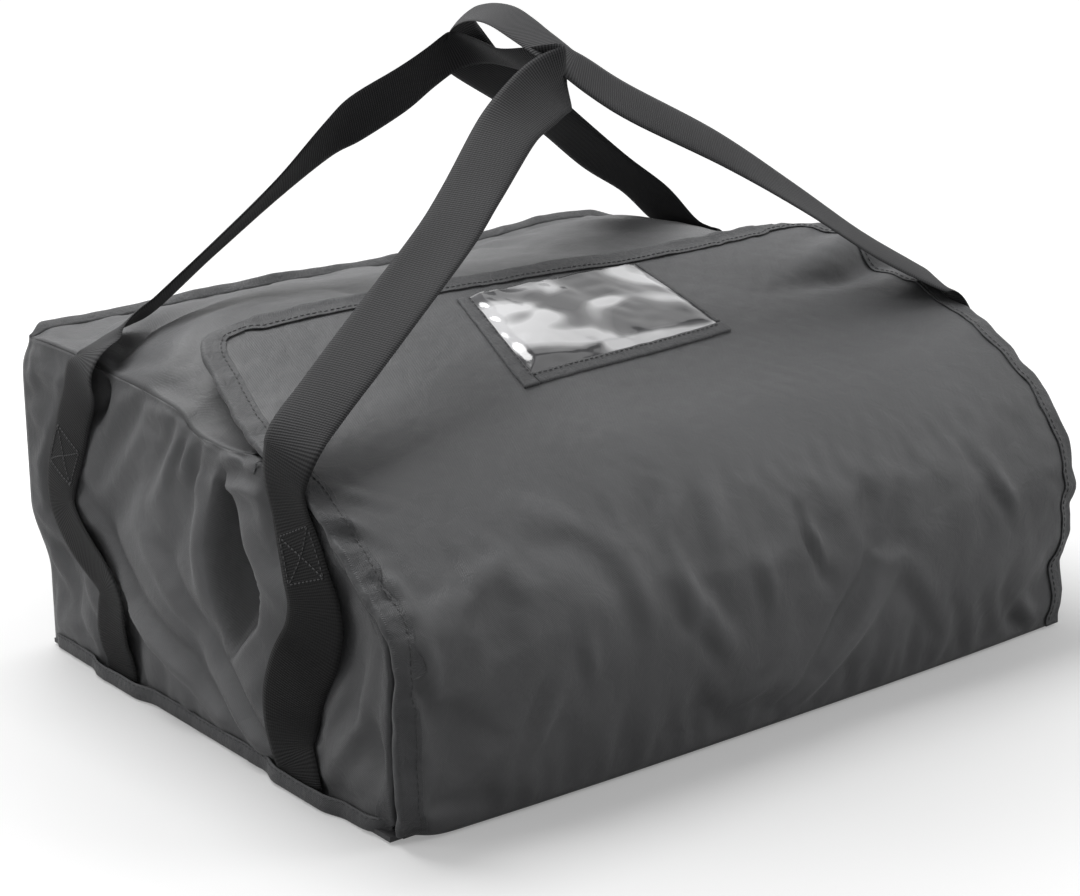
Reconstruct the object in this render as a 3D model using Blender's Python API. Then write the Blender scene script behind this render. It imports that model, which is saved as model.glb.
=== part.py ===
# Insulated pizza delivery bag: a soft box with a drop front, a fold-over flap that closes on the top
# with hook-and-loop tape, a card pocket and two webbing handles. Metres, +Z up, origin under the centre
# of the base, the front facing -Y.

import math

import bmesh
import bpy
from mathutils import Vector

# Driving sizes of the whole bag
bag_width = 0.550
bag_depth = 0.400
bag_height = 0.210
top_crown = 0.028
front_height = 0.120
slope_run = 0.120
flap_overlap = 0.115

# Layers of a padded wall, from outside to inside
cover_thickness = 0.0010
foam_thickness = 0.0060
liner_thickness = 0.0006
layer_gap = 0.0003
wall = cover_thickness + layer_gap + foam_thickness + layer_gap + liner_thickness

# Layers of the base, from below
board_thickness = 0.0030
base = cover_thickness + layer_gap + board_thickness + layer_gap + foam_thickness + layer_gap + liner_thickness

# Clearances
flap_gap = 0.0031
edge_gap = 0.0004
foot_gap = 0.0006
trim_gap = 0.0005

# Binding tape sewn over raw edges
tape_thickness = 0.0008
tape_width = 0.0100
tape_stand = trim_gap + tape_thickness

# Flap outline
flap_taper = 0.018
flap_corner_radius = 0.028
brow_radius = 0.045
brow_cut = 0.006

# Hook-and-loop tapes
hook_length = 0.440
hook_width = 0.025
hook_thickness = 0.0011
hook_from_edge = 0.018

# Card pocket
pocket_width = 0.165
pocket_length = 0.128
pocket_border = 0.011
pocket_below_edge = 0.011
film_thickness = 0.0005
film_margin = 0.003
border_thickness = 0.0009

# Webbing
web_width = 0.040
web_thickness = 0.0020
stitch_drop = 0.048
front_anchor_y = -0.096
rear_anchor_y = 0.134
grip_front_y = 0.006
grip_rear_y = 0.106
grip_rise = 0.167
grip_offset = 0.024
left_grip_arch = 0.008
right_grip_arch = 0.0265
right_front_lean = 0.018
right_rear_lean = 0.028
lean_start = 0.014
strap_over = 0.004
bend_radius = 0.022
turn_radius = 0.026

# Box stitch
stitch_box_width = 0.030
stitch_box_height = 0.028
thread = 0.0009
stitch_below_top = 0.003

# Facets
crown_columns = 10
column_share = 0.96
slope_rows = 5
arc_rows = 4
ramp_rows = 5
corner_rows = 4
crown_power = 4

half_width = bag_width / 2
half_depth = bag_depth / 2
stitch_height = bag_height - stitch_drop
grip_height = bag_height + grip_rise
handle_reach = half_width + layer_gap + web_thickness + tape_stand + edge_gap
up = Vector((0, 0, 1))
along = Vector((0, 1, 0))
across = Vector((1, 0, 0))


def clear_scene():
    for item in list(bpy.data.objects):
        bpy.data.objects.remove(item)


def material(name, colour, roughness, metallic=0.0, alpha=1.0):
    made = bpy.data.materials.new(name)
    made.use_nodes = True
    shader = made.node_tree.nodes["Principled BSDF"]
    shader.inputs["Base Color"].default_value = (*colour, 1.0)
    shader.inputs["Roughness"].default_value = roughness
    shader.inputs["Metallic"].default_value = metallic
    shader.inputs["Alpha"].default_value = alpha
    return made


def hinge(name, place):
    # An empty on a joint's axis that carries the pieces of one moving body
    empty = bpy.data.objects.new(name, None)
    empty.location = place
    bpy.context.scene.collection.objects.link(empty)
    return empty


def finish(name, mesh_data, look, carrier=None):
    bmesh.ops.recalc_face_normals(mesh_data, faces=mesh_data.faces)
    mesh = bpy.data.meshes.new(name)
    mesh_data.to_mesh(mesh)
    mesh_data.free()
    mesh.materials.append(look)
    made = bpy.data.objects.new(name, mesh)
    bpy.context.scene.collection.objects.link(made)
    if carrier:
        made.parent = carrier
        made.location = -carrier.location
    return made


def swept(name, rings, look, carrier=None):
    # A closed solid through rings of points, with a cap at each end
    data = bmesh.new()
    loops = [[data.verts.new(p) for p in ring] for ring in rings]
    count = len(rings[0])
    for near, far in zip(loops, loops[1:]):
        for i in range(count):
            j = (i + 1) % count
            data.faces.new((near[i], near[j], far[j], far[i]))
    data.faces.new(loops[0])
    data.faces.new(loops[-1])
    return finish(name, data, look, carrier)


def sheet(name, upper, lower, look, carrier=None):
    # A closed solid between two grids of points of the same size
    data = bmesh.new()
    grids = [[[data.verts.new(p) for p in row] for row in grid] for grid in (upper, lower)]
    rows, columns = len(upper), len(upper[0])
    for grid in grids:
        for r in range(rows - 1):
            for c in range(columns - 1):
                data.faces.new((grid[r][c], grid[r][c + 1], grid[r + 1][c + 1], grid[r + 1][c]))
    a, b = grids
    for r in range(rows - 1):
        for c in (0, columns - 1):
            data.faces.new((a[r][c], a[r + 1][c], b[r + 1][c], b[r][c]))
    for c in range(columns - 1):
        for r in (0, rows - 1):
            data.faces.new((a[r][c], a[r][c + 1], b[r][c + 1], b[r][c]))
    return finish(name, data, look, carrier)


def side_prism(name, outline, near, far, look, carrier=None):
    # An outline of (y, z) points, solid from x = near to x = far
    rings = [[(x, y, z) for y, z in outline] for x in (near, far)]
    return swept(name, rings, look, carrier)


def front_prism(name, outline, near, far, look, carrier=None):
    # An outline of (x, z) points, solid from y = near to y = far
    rings = [[(x, y, z) for x, z in outline] for y in (near, far)]
    return swept(name, rings, look, carrier)


def spread(low, high, count):
    return [low + (high - low) * i / count for i in range(count + 1)]


def stations():
    return spread(-half_width, half_width, crown_columns)


def columns(half):
    # The crown's own columns within a half width, with the two ends
    return [-half] + [x for x in stations() if abs(x) < half * column_share] + [half]


def crown(x):
    # How far the stuffed top rises above its side edges, straight between its columns
    step = bag_width / crown_columns
    low = min(crown_columns - 1, max(0, math.floor((x + half_width) / step)))
    ends = [1 - abs(s / half_width) ** crown_power for s in stations()[low:low + 2]]
    along_step = (x + half_width) / step - low
    return top_crown * (ends[0] + (ends[1] - ends[0]) * along_step)


def layers():
    # Name ending, outer depth and inner depth of each layer of a wall
    foam = cover_thickness + layer_gap
    liner = foam + foam_thickness + layer_gap
    return (
        ("cover", 0.0, cover_thickness),
        ("foam", foam, foam + foam_thickness),
        ("liner", liner, liner + liner_thickness),
    )


# Profile of the flap's outer face at the bag's sides, from the front fold to the free edge
fold_y = -half_depth
brow_y = fold_y + slope_run
brow_z = bag_height + flap_gap + wall
slope_angle = math.atan2(brow_z - front_height, slope_run)
slope_length = math.hypot(brow_z - front_height, slope_run)
slope_way = Vector((0, math.cos(slope_angle), math.sin(slope_angle)))
slope_out = Vector((0, -math.sin(slope_angle), math.cos(slope_angle)))
mitre = math.tan((math.pi / 2 - slope_angle) / 2)
brow_tangent = brow_radius * math.tan(slope_angle / 2)
flap_free_y = brow_y + flap_overlap
mouth_y = brow_y + brow_tangent
hook_far_y = flap_free_y - hook_from_edge
hook_near_y = hook_far_y - hook_width

# The top sags flat across behind the brow, and its crown rises from there to where the flap's corners begin
ramp_near_y = mouth_y + tape_width + trim_gap
ramp_far_y = flap_free_y - flap_corner_radius
hook_ys = spread(hook_near_y, ramp_far_y, arc_rows // 2)
ramp_ys = spread(ramp_near_y, hook_near_y, ramp_rows)[:-1] + hook_ys


def crown_share(y):
    return min(1.0, max(0.0, (y - ramp_near_y) / (ramp_far_y - ramp_near_y)))


def flap_rows():
    # Each row's share of the crown, point on the profile, outward normal and way along the profile
    rows = []
    straight = slope_length - brow_tangent
    start = Vector((0, fold_y, front_height))
    for run in spread(edge_gap, straight, slope_rows):
        rows.append((0.0, start + slope_way * run, slope_out, slope_way))
    centre = Vector((0, brow_y + brow_tangent, brow_z - brow_radius))
    for step in range(1, arc_rows + 1):
        angle = slope_angle * (1 - step / arc_rows)
        out = Vector((0, -math.sin(angle), math.cos(angle)))
        way = Vector((0, math.cos(angle), math.sin(angle)))
        rows.append((0.0, centre + out * brow_radius, out, way))
    for y in ramp_ys:
        rows.append((crown_share(y), Vector((0, y, brow_z)), up, along))
    for step in range(1, corner_rows + 1):
        turn = math.pi / 2 * step / corner_rows
        y = ramp_far_y + flap_corner_radius * math.sin(turn)
        rows.append((1.0, Vector((0, y, brow_z)), up, along))
    return rows


def flap_half_width(y):
    # Half the flap's width: full over the front, drawn in over the top, round at its free corners
    drawn_in = flap_taper * max(0.0, y - brow_y) / flap_overlap
    past = y - (flap_free_y - flap_corner_radius)
    half = half_width - drawn_in
    if past > 0:
        rest = max(0.0, flap_corner_radius**2 - past**2)
        half -= flap_corner_radius - math.sqrt(rest)
    return half


def flap_point(row, x, depth):
    # A point of the flap at a depth under its outer face; a negative depth stands proud
    share, place, out, way = row
    foot = 1 - min(1.0, (place - Vector((0, fold_y, front_height))).length / wall)
    lean = way * depth * mitre * foot
    return place + across * x - out * depth + lean + up * crown(x) * share


def flap_columns(y):
    # The crown's columns, drawn in where the flap is narrower
    half = flap_half_width(y)
    inner = half * column_share
    return [-half] + [max(-inner, min(inner, x)) for x in stations()[1:-1]] + [half]


def flap_runs():
    # How far each of the flap's rows lies from its free edge
    rows = flap_rows()[::-1]
    runs = [0.0]
    for far, near in zip(rows, rows[1:]):
        runs.append(runs[-1] + (far[1] - near[1]).length)
    return runs


def flap_row_at(run_back):
    # The row at a distance from the free edge, between the flap's own rows
    rows = flap_rows()
    left = run_back
    for far, near in zip(rows[::-1], rows[-2::-1]):
        step = (far[1] - near[1]).length
        if left <= step:
            t = left / step
            out = far[2].lerp(near[2], t).normalized()
            way = far[3].lerp(near[3], t).normalized()
            return (far[0] + (near[0] - far[0]) * t, far[1].lerp(near[1], t), out, way)
        left -= step
    return rows[0]


def top_height(x, y=half_depth):
    return bag_height + crown(x) * crown_share(y)


def side_brow():
    # A side wall's edge behind the flap, from the front of the top down to its front foot
    front = fold_y + wall + flap_gap
    low = front_height - (wall + flap_gap) * mitre
    rise = (bag_height - low) / math.tan(slope_angle)
    corner = Vector((0, front + rise, bag_height))
    cut = corner - slope_way * brow_cut
    return [(corner.y + brow_cut, bag_height), (cut.y, cut.z), (front, low), (front, base + layer_gap)]


def side_outline():
    # A side wall's outline: under the top, then close behind the flap and the front
    top = bag_height - wall - layer_gap
    step = mouth_y - edge_gap
    under_top = [(half_depth, base + layer_gap), (half_depth, top), (step, top), (step, bag_height)]
    return under_top + side_brow()


def inset_band(path, width):
    # A band inside an open path
    points = [Vector((0, y, z)) for y, z in path]
    inner = []
    for i, point in enumerate(points):
        ways = []
        if i:
            ways.append((point - points[i - 1]).normalized())
        if i < len(points) - 1:
            ways.append((points[i + 1] - point).normalized())
        normals = [Vector((0, -w.z, w.y)) for w in ways]
        middle = sum(normals, Vector()).normalized()
        inner.append(point + middle * width / middle.dot(normals[0]))
    return [(p.y, p.z) for p in points] + [(p.y, p.z) for p in reversed(inner)]


def make_base(cloth, board, foam, foil):
    front = fold_y + wall + flap_gap
    level = 0.0
    for name, thickness, look in (
        ("base_cover", cover_thickness, cloth),
        ("base_board", board_thickness, board),
        ("base_foam", foam_thickness, foam),
        ("base_liner", liner_thickness, foil),
    ):
        outline = [
            (-half_width, level),
            (half_width, level),
            (half_width, level + thickness),
            (-half_width, level + thickness),
        ]
        front_prism(name, outline, front, half_depth, look)
        level += thickness + layer_gap


def make_sides(looks):
    outline = side_outline()
    for side, name in ((-1, "left"), (1, "right")):
        for part, outer, inner in layers():
            near, far = side * (half_width - outer), side * (half_width - inner)
            side_prism(f"{name}_side_{part}", outline, near, far, looks[part])


def back_outline(half):
    floor = base + layer_gap
    top = [(x, top_height(x) - wall - layer_gap) for x in columns(half)[::-1]]
    return [(-half, floor), (half, floor)] + top


def make_back(looks):
    outline = back_outline(half_width - wall - layer_gap)
    for part, outer, inner in layers():
        front_prism(f"back_{part}", outline, half_depth - outer, half_depth - inner, looks[part])


def make_top(looks):
    for part, outer, inner in layers():
        grids = [
            [[(x, y, top_height(x, y) - depth) for x in stations()] for y in [mouth_y] + ramp_ys + [half_depth]]
            for depth in (outer, inner)
        ]
        sheet(f"top_{part}", *grids, looks[part])


def make_front(looks, carrier):
    for part, outer, inner in layers():
        outline = [
            (fold_y + outer, foot_gap),
            (fold_y + inner, foot_gap),
            (fold_y + inner, front_height - inner * mitre - edge_gap),
            (fold_y + outer, front_height - outer * mitre - edge_gap),
        ]
        side_prism(f"front_{part}", outline, -half_width, half_width, looks[part], carrier)


def make_flap(looks, carrier):
    rows = flap_rows()
    for part, outer, inner in layers():
        grids = []
        for depth in (outer, inner):
            grids.append([[flap_point(row, x, depth) for x in flap_columns(row[1].y)] for row in rows])
        sheet(f"flap_{part}", *grids, looks[part], carrier)


def channel(edge, tip, out, inward):
    # One ring of folded tape round the edge of a padded wall, its legs reaching in to the tip
    gap, stand = trim_gap, tape_stand
    return [
        tip + out * gap,
        tip + out * stand,
        edge - inward * stand + out * stand,
        edge - inward * stand - out * (wall + stand),
        tip - out * (wall + stand),
        tip - out * (wall + gap),
        edge - inward * gap - out * (wall + gap),
        edge - inward * gap + out * gap,
    ]


def flap_edge_rings():
    # Rings of the flap's binding, up the left edge, along the free edge and down the right edge
    rows = flap_rows()
    rings = []
    start = (wall + tape_stand) * mitre + edge_gap
    rows[0] = (0.0, rows[0][1] + slope_way * start, slope_out, slope_way)
    edges = []
    for row in rows:
        past = row[1].y - (flap_free_y - flap_corner_radius)
        turn = math.asin(min(1.0, max(0.0, past / flap_corner_radius)))
        edges.append((row, flap_half_width(row[1].y), turn))
    last = edges[-1]
    edge_xs = flap_columns(flap_free_y)[1:-1]
    for side, path in ((-1, edges), (1, edges[::-1])):
        for row, half, turn in path:
            inward = -across * side * math.cos(turn) - row[3] * math.sin(turn)
            edge = flap_point(row, side * half, 0.0)
            inner_row = (row[0], row[1] - row[3] * tape_width * math.sin(turn), row[2], row[3])
            tip = flap_point(inner_row, side * (half - tape_width * math.cos(turn)), 0.0)
            rings.append(channel(edge, tip, row[2], inward))
        if side < 0:
            for x in edge_xs:
                edge = flap_point(last[0], x, 0.0)
                rings.append(channel(edge, edge - last[0][3] * tape_width, last[0][2], -last[0][3]))
    return rings


def make_bindings(tape, front_carrier, flap_carrier):
    outline = inset_band([(half_depth, bag_height)] + side_brow(), tape_width)
    for side, name in ((-1, "left"), (1, "right")):
        near = side * (half_width + layer_gap)
        far = side * (half_width + tape_stand)
        side_prism(f"{name}_side_binding", outline, near, far, tape)
    inner = half_width - tape_width
    foot = base + layer_gap
    band = [(-half_width, foot)] + [(x, top_height(x)) for x in stations()] + [(half_width, foot)]
    band += [(inner, foot)] + [(x, top_height(x) - tape_width) for x in columns(inner)[::-1]]
    band.append((-inner, foot))
    front_prism("back_binding", band, half_depth + layer_gap, half_depth + tape_stand, tape)
    make_bottom_binding(tape)
    between = half_width - wall - 2 * layer_gap
    rings = []
    for x in columns(between):
        edge = Vector((x, mouth_y, top_height(x, mouth_y)))
        rings.append(channel(edge, edge + along * tape_width, up, along))
    swept("mouth_binding", rings, tape)
    front = fold_y + wall + flap_gap
    fold = [
        (front - tape_stand, foot_gap),
        (front - layer_gap, foot_gap),
        (front - layer_gap, base + layer_gap),
        (front + tape_width, base + layer_gap),
        (front + tape_width, base + tape_stand),
        (front - tape_stand, base + tape_stand),
    ]
    side_prism("sill_binding", fold, -between, between, tape)
    swept("flap_binding", flap_edge_rings(), tape, flap_carrier)
    for side, name in ((-1, "left"), (1, "right")):
        rings = []
        for z in (foot_gap, front_height - tape_stand * 2 - (wall + tape_stand) * mitre):
            edge = Vector((side * half_width, fold_y, z))
            rings.append(channel(edge, edge - across * side * tape_width, -along, -across * side))
        swept(f"front_binding_{name}", rings, tape, front_carrier)


def make_bottom_binding(tape):
    front = fold_y + wall + flap_gap
    corners = []
    for stand in (layer_gap, tape_stand):
        x, y = half_width + stand, half_depth + stand
        corners.append([(-x, front), (-x, y), (x, y), (x, front)])
    plan = corners[0] + corners[1][::-1]
    rings = [[(x, y, z) for x, y in plan] for z in (foot_gap, foot_gap + tape_width)]
    swept("bottom_binding", rings, tape)


def make_tapes(loop_look, hook_look, carrier):
    # The loop tape lies on the top, and the hook tape faces it from under the flap
    hook_low = flap_gap - layer_gap - hook_thickness
    for name, low, look, holder in (
        ("loop_tape", layer_gap, loop_look, None),
        ("hook_tape", hook_low, hook_look, carrier),
    ):
        grids = [
            [
                [(x, y, top_height(x, y) + height) for x in columns(hook_length / 2)]
                for y in hook_ys + [hook_far_y]
            ]
            for height in (low + hook_thickness, low)
        ]
        sheet(name, *grids, look, holder)


def pocket_runs(end):
    # Distances from the flap's free edge down the pocket, with the flap's own rows between
    own = [run for run in flap_runs() if pocket_below_edge < run < end]
    return [pocket_below_edge] + own + [end]


def make_pocket(film, tape, carrier):
    # A clear film on the flap, held by a border on three sides and open under the flap's edge
    half = pocket_width / 2
    end = pocket_below_edge + pocket_length
    film_high = trim_gap + film_thickness
    film_rows = [flap_row_at(run) for run in pocket_runs(end - film_margin)]
    film_columns = columns(half - film_margin)
    grids = [
        [[flap_point(row, x, -height) for x in film_columns] for row in film_rows]
        for height in (film_high, trim_gap)
    ]
    sheet("pocket_window", *grids, film, carrier)
    low = film_high + trim_gap
    high = low + border_thickness
    inner = half - pocket_border
    legs = []
    for side in (-1, 1):
        leg = []
        for run in pocket_runs(end - pocket_border):
            outer_run = end if run == end - pocket_border else run
            outer_row, inner_row = flap_row_at(outer_run), flap_row_at(run)
            leg.append([
                flap_point(outer_row, side * half, -low),
                flap_point(outer_row, side * half, -high),
                flap_point(inner_row, side * inner, -high),
                flap_point(inner_row, side * inner, -low),
            ])
        legs.append(leg)
    foot = []
    outer_row, inner_row = flap_row_at(end), flap_row_at(end - pocket_border)
    for x in columns(inner)[1:-1]:
        foot.append([
            flap_point(outer_row, x, -low),
            flap_point(outer_row, x, -high),
            flap_point(inner_row, x, -high),
            flap_point(inner_row, x, -low),
        ])
    swept("pocket_border", legs[0] + foot + legs[1][::-1], tape, carrier)


def make_stitch_box(name, side, y, look):
    # Thread sewn as a box with a cross, standing on the strap
    half_y, half_z = stitch_box_width / 2, stitch_box_height / 2
    middle_z = stitch_height - stitch_below_top - half_z
    corners = [Vector((a * half_y, b * half_z)) for a, b in ((-1, -1), (1, -1), (1, 1), (-1, 1))]
    data = bmesh.new()
    low = half_width + layer_gap + web_thickness + layer_gap
    levels = []
    for stand in (low, low + thread):
        place = {}
        for i, corner in enumerate(corners):
            following = corners[(i + 1) % 4]
            way = (following - corner).normalized()
            to_middle = -(corner + following) / 2
            inward = to_middle.normalized()
            place["outer", i] = corner
            place["start", i] = corner + way * thread * 2 + inward * thread
            place["end", i] = following - way * thread * 2 + inward * thread
            place["heart", i] = -inward * thread
        levels.append({
            key: data.verts.new((side * stand, y + p.x, middle_z + p.y)) for key, p in place.items()
        })
    faces = []
    for i in range(4):
        before, after = (i - 1) % 4, (i + 1) % 4
        faces.append([("outer", i), ("outer", after), ("end", i), ("start", i)])
        faces.append([("outer", i), ("start", i), ("heart", i), ("heart", before), ("end", before)])
    faces.append([("heart", i) for i in range(4)])
    for level in levels:
        for face in faces:
            data.faces.new([level[key] for key in face])
    lower, upper = levels
    for i in range(4):
        after = (i + 1) % 4
        walls = [(("outer", i), ("outer", after)), (("start", i), ("end", i))]
        walls += [(("end", i), ("heart", i)), (("heart", i), ("start", i))]
        for a, b in walls:
            data.faces.new((lower[a], lower[b], upper[b], upper[a]))
    finish(name, data, look)


def make_strap_runs(web, thread_look):
    # The sewn part of each strap, flat on the side wall from the bottom binding to the box stitch
    foot = foot_gap + tape_width + edge_gap
    for side, side_name in ((-1, "left"), (1, "right")):
        near = side * (half_width + layer_gap)
        far = side * (half_width + layer_gap + web_thickness)
        for y, place in ((front_anchor_y, "front"), (rear_anchor_y, "rear")):
            low, high = y - web_width / 2, y + web_width / 2
            outline = [(low, foot), (high, foot), (high, stitch_height), (low, stitch_height)]
            side_prism(f"{side_name}_{place}_strap", outline, near, far, web)
            make_stitch_box(f"{side_name}_{place}_stitch", side, y, thread_look)


def arc_points(centre, start, way, angle, count):
    # Points on an arc that leaves the end of `start` towards `way`
    radius = start.length
    unit = start.normalized()
    return [
        centre + (unit * math.cos(a) + way * math.sin(a)) * radius
        for a in spread(0, angle, count)
    ]


def handle_foot(side, anchor_y, lean, goal):
    # Centre points from the box stitch up past the bag's edge, then bent inwards towards the grip
    x = side * (handle_reach - web_thickness / 2)
    foot = Vector((x, anchor_y, stitch_height + edge_gap))
    start = Vector((x, anchor_y, stitch_height + edge_gap + lean_start))
    top = Vector((x, anchor_y + lean, bag_height + strap_over))
    centre = top - across * side * bend_radius
    flat = math.atan2(goal.z - top.z, abs(top.x - goal.x))
    return [foot, start] + arc_points(centre, across * side * bend_radius, up, math.pi / 2 - flat, arc_rows)


def ribbon(name, points, widths, look, carrier):
    rings = []
    for i, point in enumerate(points):
        before, after = points[max(0, i - 1)], points[min(len(points) - 1, i + 1)]
        way = (after - before).normalized()
        wide = (widths[i] - way * widths[i].dot(way)).normalized() * web_width / 2
        thin = way.cross(wide).normalized() * web_thickness / 2
        rings.append([point - wide - thin, point + wide - thin, point + wide + thin, point - wide + thin])
    return swept(name, rings, look, carrier)


def make_handle(name, side, height, arch, leans, look, carrier):
    # One loop of webbing in three lengths: up from each anchor, and the grip with its two folded corners
    goals = [Vector((side * grip_offset, y, height)) for y in (grip_front_y, grip_rear_y)]
    places = (("front", front_anchor_y), ("rear", rear_anchor_y))
    turns = []
    for i, (place, anchor_y) in enumerate(places):
        goal = goals[i]
        foot = handle_foot(side, anchor_y, leans[i], goal)
        leg_way = (foot[-1] - goal).normalized()
        grip_way = (goals[1 - i] - goal).normalized()
        half_angle = leg_way.angle(grip_way) / 2
        start = goal + leg_way * turn_radius / math.tan(half_angle)
        normal = (grip_way - leg_way * grip_way.dot(leg_way)).normalized()
        centre = start + normal * turn_radius
        sweep = math.pi - 2 * half_angle
        turn = arc_points(centre, -normal * turn_radius, -leg_way, sweep, 2 * arc_rows)
        straight = start + leg_way * web_thickness
        turns.append([straight] + turn)
        end = straight + leg_way * edge_gap
        run = [foot[-1].lerp(end, s) for s in spread(0, 1, slope_rows)[1:]]
        plane = grip_way.cross(leg_way)
        leg = foot + run
        widths = [along] * len(foot) + [plane.cross(leg_way)] * len(run)
        if widths[-1].dot(along) < 0:
            widths = [along] * len(foot) + [leg_way.cross(plane)] * len(run)
        ribbon(f"{name}_{place}_leg", leg, widths, look, carrier)
    between = [turns[0][-1].lerp(turns[1][-1], s) for s in spread(0, 1, arc_rows)[1:-1]]
    grip = turns[0] + between + turns[1][::-1]
    low_y, high_y = grip[1].y, grip[-2].y
    rises = [max(0, math.sin(math.pi * min(1, max(0, (p.y - low_y) / (high_y - low_y))))) for p in grip]
    grip = [p + up * arch * rise for p, rise in zip(grip, rises)]
    plane = (goals[1] - goals[0]).cross(turns[0][0] - goals[0])
    widths = []
    for i in range(len(grip)):
        before, after = grip[max(0, i - 1)], grip[min(len(grip) - 1, i + 1)]
        widths.append(plane.cross(after - before))
    ribbon(f"{name}_grip", grip, widths, look, carrier)


def build():
    clear_scene()
    cloth = material("cloth", (0.085, 0.085, 0.088), 0.62)
    tape = material("binding", (0.050, 0.050, 0.052), 0.70)
    web = material("webbing", (0.035, 0.035, 0.037), 0.75)
    foam = material("foam", (0.80, 0.80, 0.78), 0.90)
    foil = material("foil", (0.72, 0.73, 0.74), 0.28, 0.9)
    board = material("board", (0.10, 0.10, 0.10), 0.50)
    film = material("film", (0.80, 0.82, 0.84), 0.06, 0.0, 0.35)
    thread_look = material("thread", (0.11, 0.11, 0.11), 0.80)
    hook_look = material("hook_and_loop", (0.02, 0.02, 0.02), 0.95)
    looks = {"cover": cloth, "foam": foam, "liner": foil}
    front_hinge = hinge("front_hinge", Vector((0, fold_y - tape_stand, 0)))
    lift = tape_stand * (1 - math.sin(slope_angle)) / math.cos(slope_angle)
    flap_hinge = hinge("flap_hinge", Vector((0, fold_y - tape_stand, front_height + lift)))
    make_base(cloth, board, foam, foil)
    make_sides(looks)
    make_back(looks)
    make_top(looks)
    make_front(looks, front_hinge)
    make_flap(looks, flap_hinge)
    make_bindings(tape, front_hinge, flap_hinge)
    make_tapes(hook_look, hook_look, flap_hinge)
    make_pocket(film, tape, flap_hinge)
    make_strap_runs(web, thread_look)
    loops = (
        (-1, "left_handle", left_grip_arch, (0, 0)),
        (1, "right_handle", right_grip_arch, (right_front_lean, right_rear_lean)),
    )
    for side, name, arch, leans in loops:
        pivot = hinge(f"{name}_hinge", Vector((side * handle_reach, 0, stitch_height + edge_gap)))
        make_handle(name, side, grip_height, arch, leans, web, pivot)


build()
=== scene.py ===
import math
import bpy
import numpy as np
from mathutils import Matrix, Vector
from mathutils.bvhtree import BVHTree


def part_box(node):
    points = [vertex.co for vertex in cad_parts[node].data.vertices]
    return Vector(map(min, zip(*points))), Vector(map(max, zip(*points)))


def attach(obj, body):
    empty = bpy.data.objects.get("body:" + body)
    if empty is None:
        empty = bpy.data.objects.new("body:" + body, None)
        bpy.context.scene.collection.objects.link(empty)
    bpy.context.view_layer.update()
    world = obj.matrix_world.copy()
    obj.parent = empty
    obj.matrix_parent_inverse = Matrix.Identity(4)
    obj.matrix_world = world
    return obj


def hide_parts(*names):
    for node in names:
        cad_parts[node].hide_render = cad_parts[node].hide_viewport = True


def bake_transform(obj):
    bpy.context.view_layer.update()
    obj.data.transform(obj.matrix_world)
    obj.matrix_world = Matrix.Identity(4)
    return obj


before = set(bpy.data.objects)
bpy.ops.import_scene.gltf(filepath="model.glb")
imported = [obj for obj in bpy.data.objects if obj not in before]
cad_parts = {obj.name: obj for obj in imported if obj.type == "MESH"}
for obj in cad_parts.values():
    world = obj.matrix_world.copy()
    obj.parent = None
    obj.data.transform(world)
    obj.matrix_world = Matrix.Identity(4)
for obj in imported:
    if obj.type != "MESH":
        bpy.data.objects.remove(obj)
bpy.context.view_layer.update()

bpy.ops.object.select_all(action="DESELECT")
print("bag: frame loaded")


# evenly spaced points along a line of points
def evenly(line, count):
    line = np.asarray(line, float)
    steps = np.r_[0, np.cumsum(np.linalg.norm(np.diff(line, axis=0), axis=1))]
    at = np.linspace(0, steps[-1], count)
    return np.stack([np.interp(at, steps, line[:, k]) for k in range(line.shape[1])], axis=1)


# a soft curve through the points
def softCurve(points, count):
    p = np.array(points, float)
    ends = np.vstack([2 * p[0] - p[1], p, 2 * p[-1] - p[-2]])
    t = np.linspace(0, 1, 24, endpoint=False)[:, None]
    dense = []
    for i in range(len(p) - 1):
        a, b, c, d = ends[i : i + 4]
        dense.append(0.5 * (2 * b + (c - a) * t + (2 * a - 5 * b + 4 * c - d) * t**2 + (3 * b - a - 3 * c + d) * t**3))
    return evenly(np.vstack([*dense, p[-1:]]), count)


def ease(t):
    t = np.clip(t, 0, 1)
    return t * t * (3 - 2 * t)


# rolling bumps of about that size over two coordinates, from -1 to 1
def rolling(a, b, size, seed):
    turn = np.random.default_rng(seed).uniform(0, 2 * math.pi, (64, 64))
    u, v = np.asarray(a, float) / size + 31.3, np.asarray(b, float) / size + 31.7
    i, j = np.floor(u).astype(int), np.floor(v).astype(int)
    u, v = u - i, v - j

    def corner(p, q):
        angle = turn[(i + p) % 64, (j + q) % 64]
        return np.cos(angle) * (u - p) + np.sin(angle) * (v - q)

    fu, fv = u**3 * (u * (6 * u - 15) + 10), v**3 * (v * (6 * v - 15) + 10)
    low = corner(0, 0) * (1 - fu) + corner(1, 0) * fu
    high = corner(0, 1) * (1 - fu) + corner(1, 1) * fu
    return 1.5 * (low * (1 - fv) + high * fv)


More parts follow.
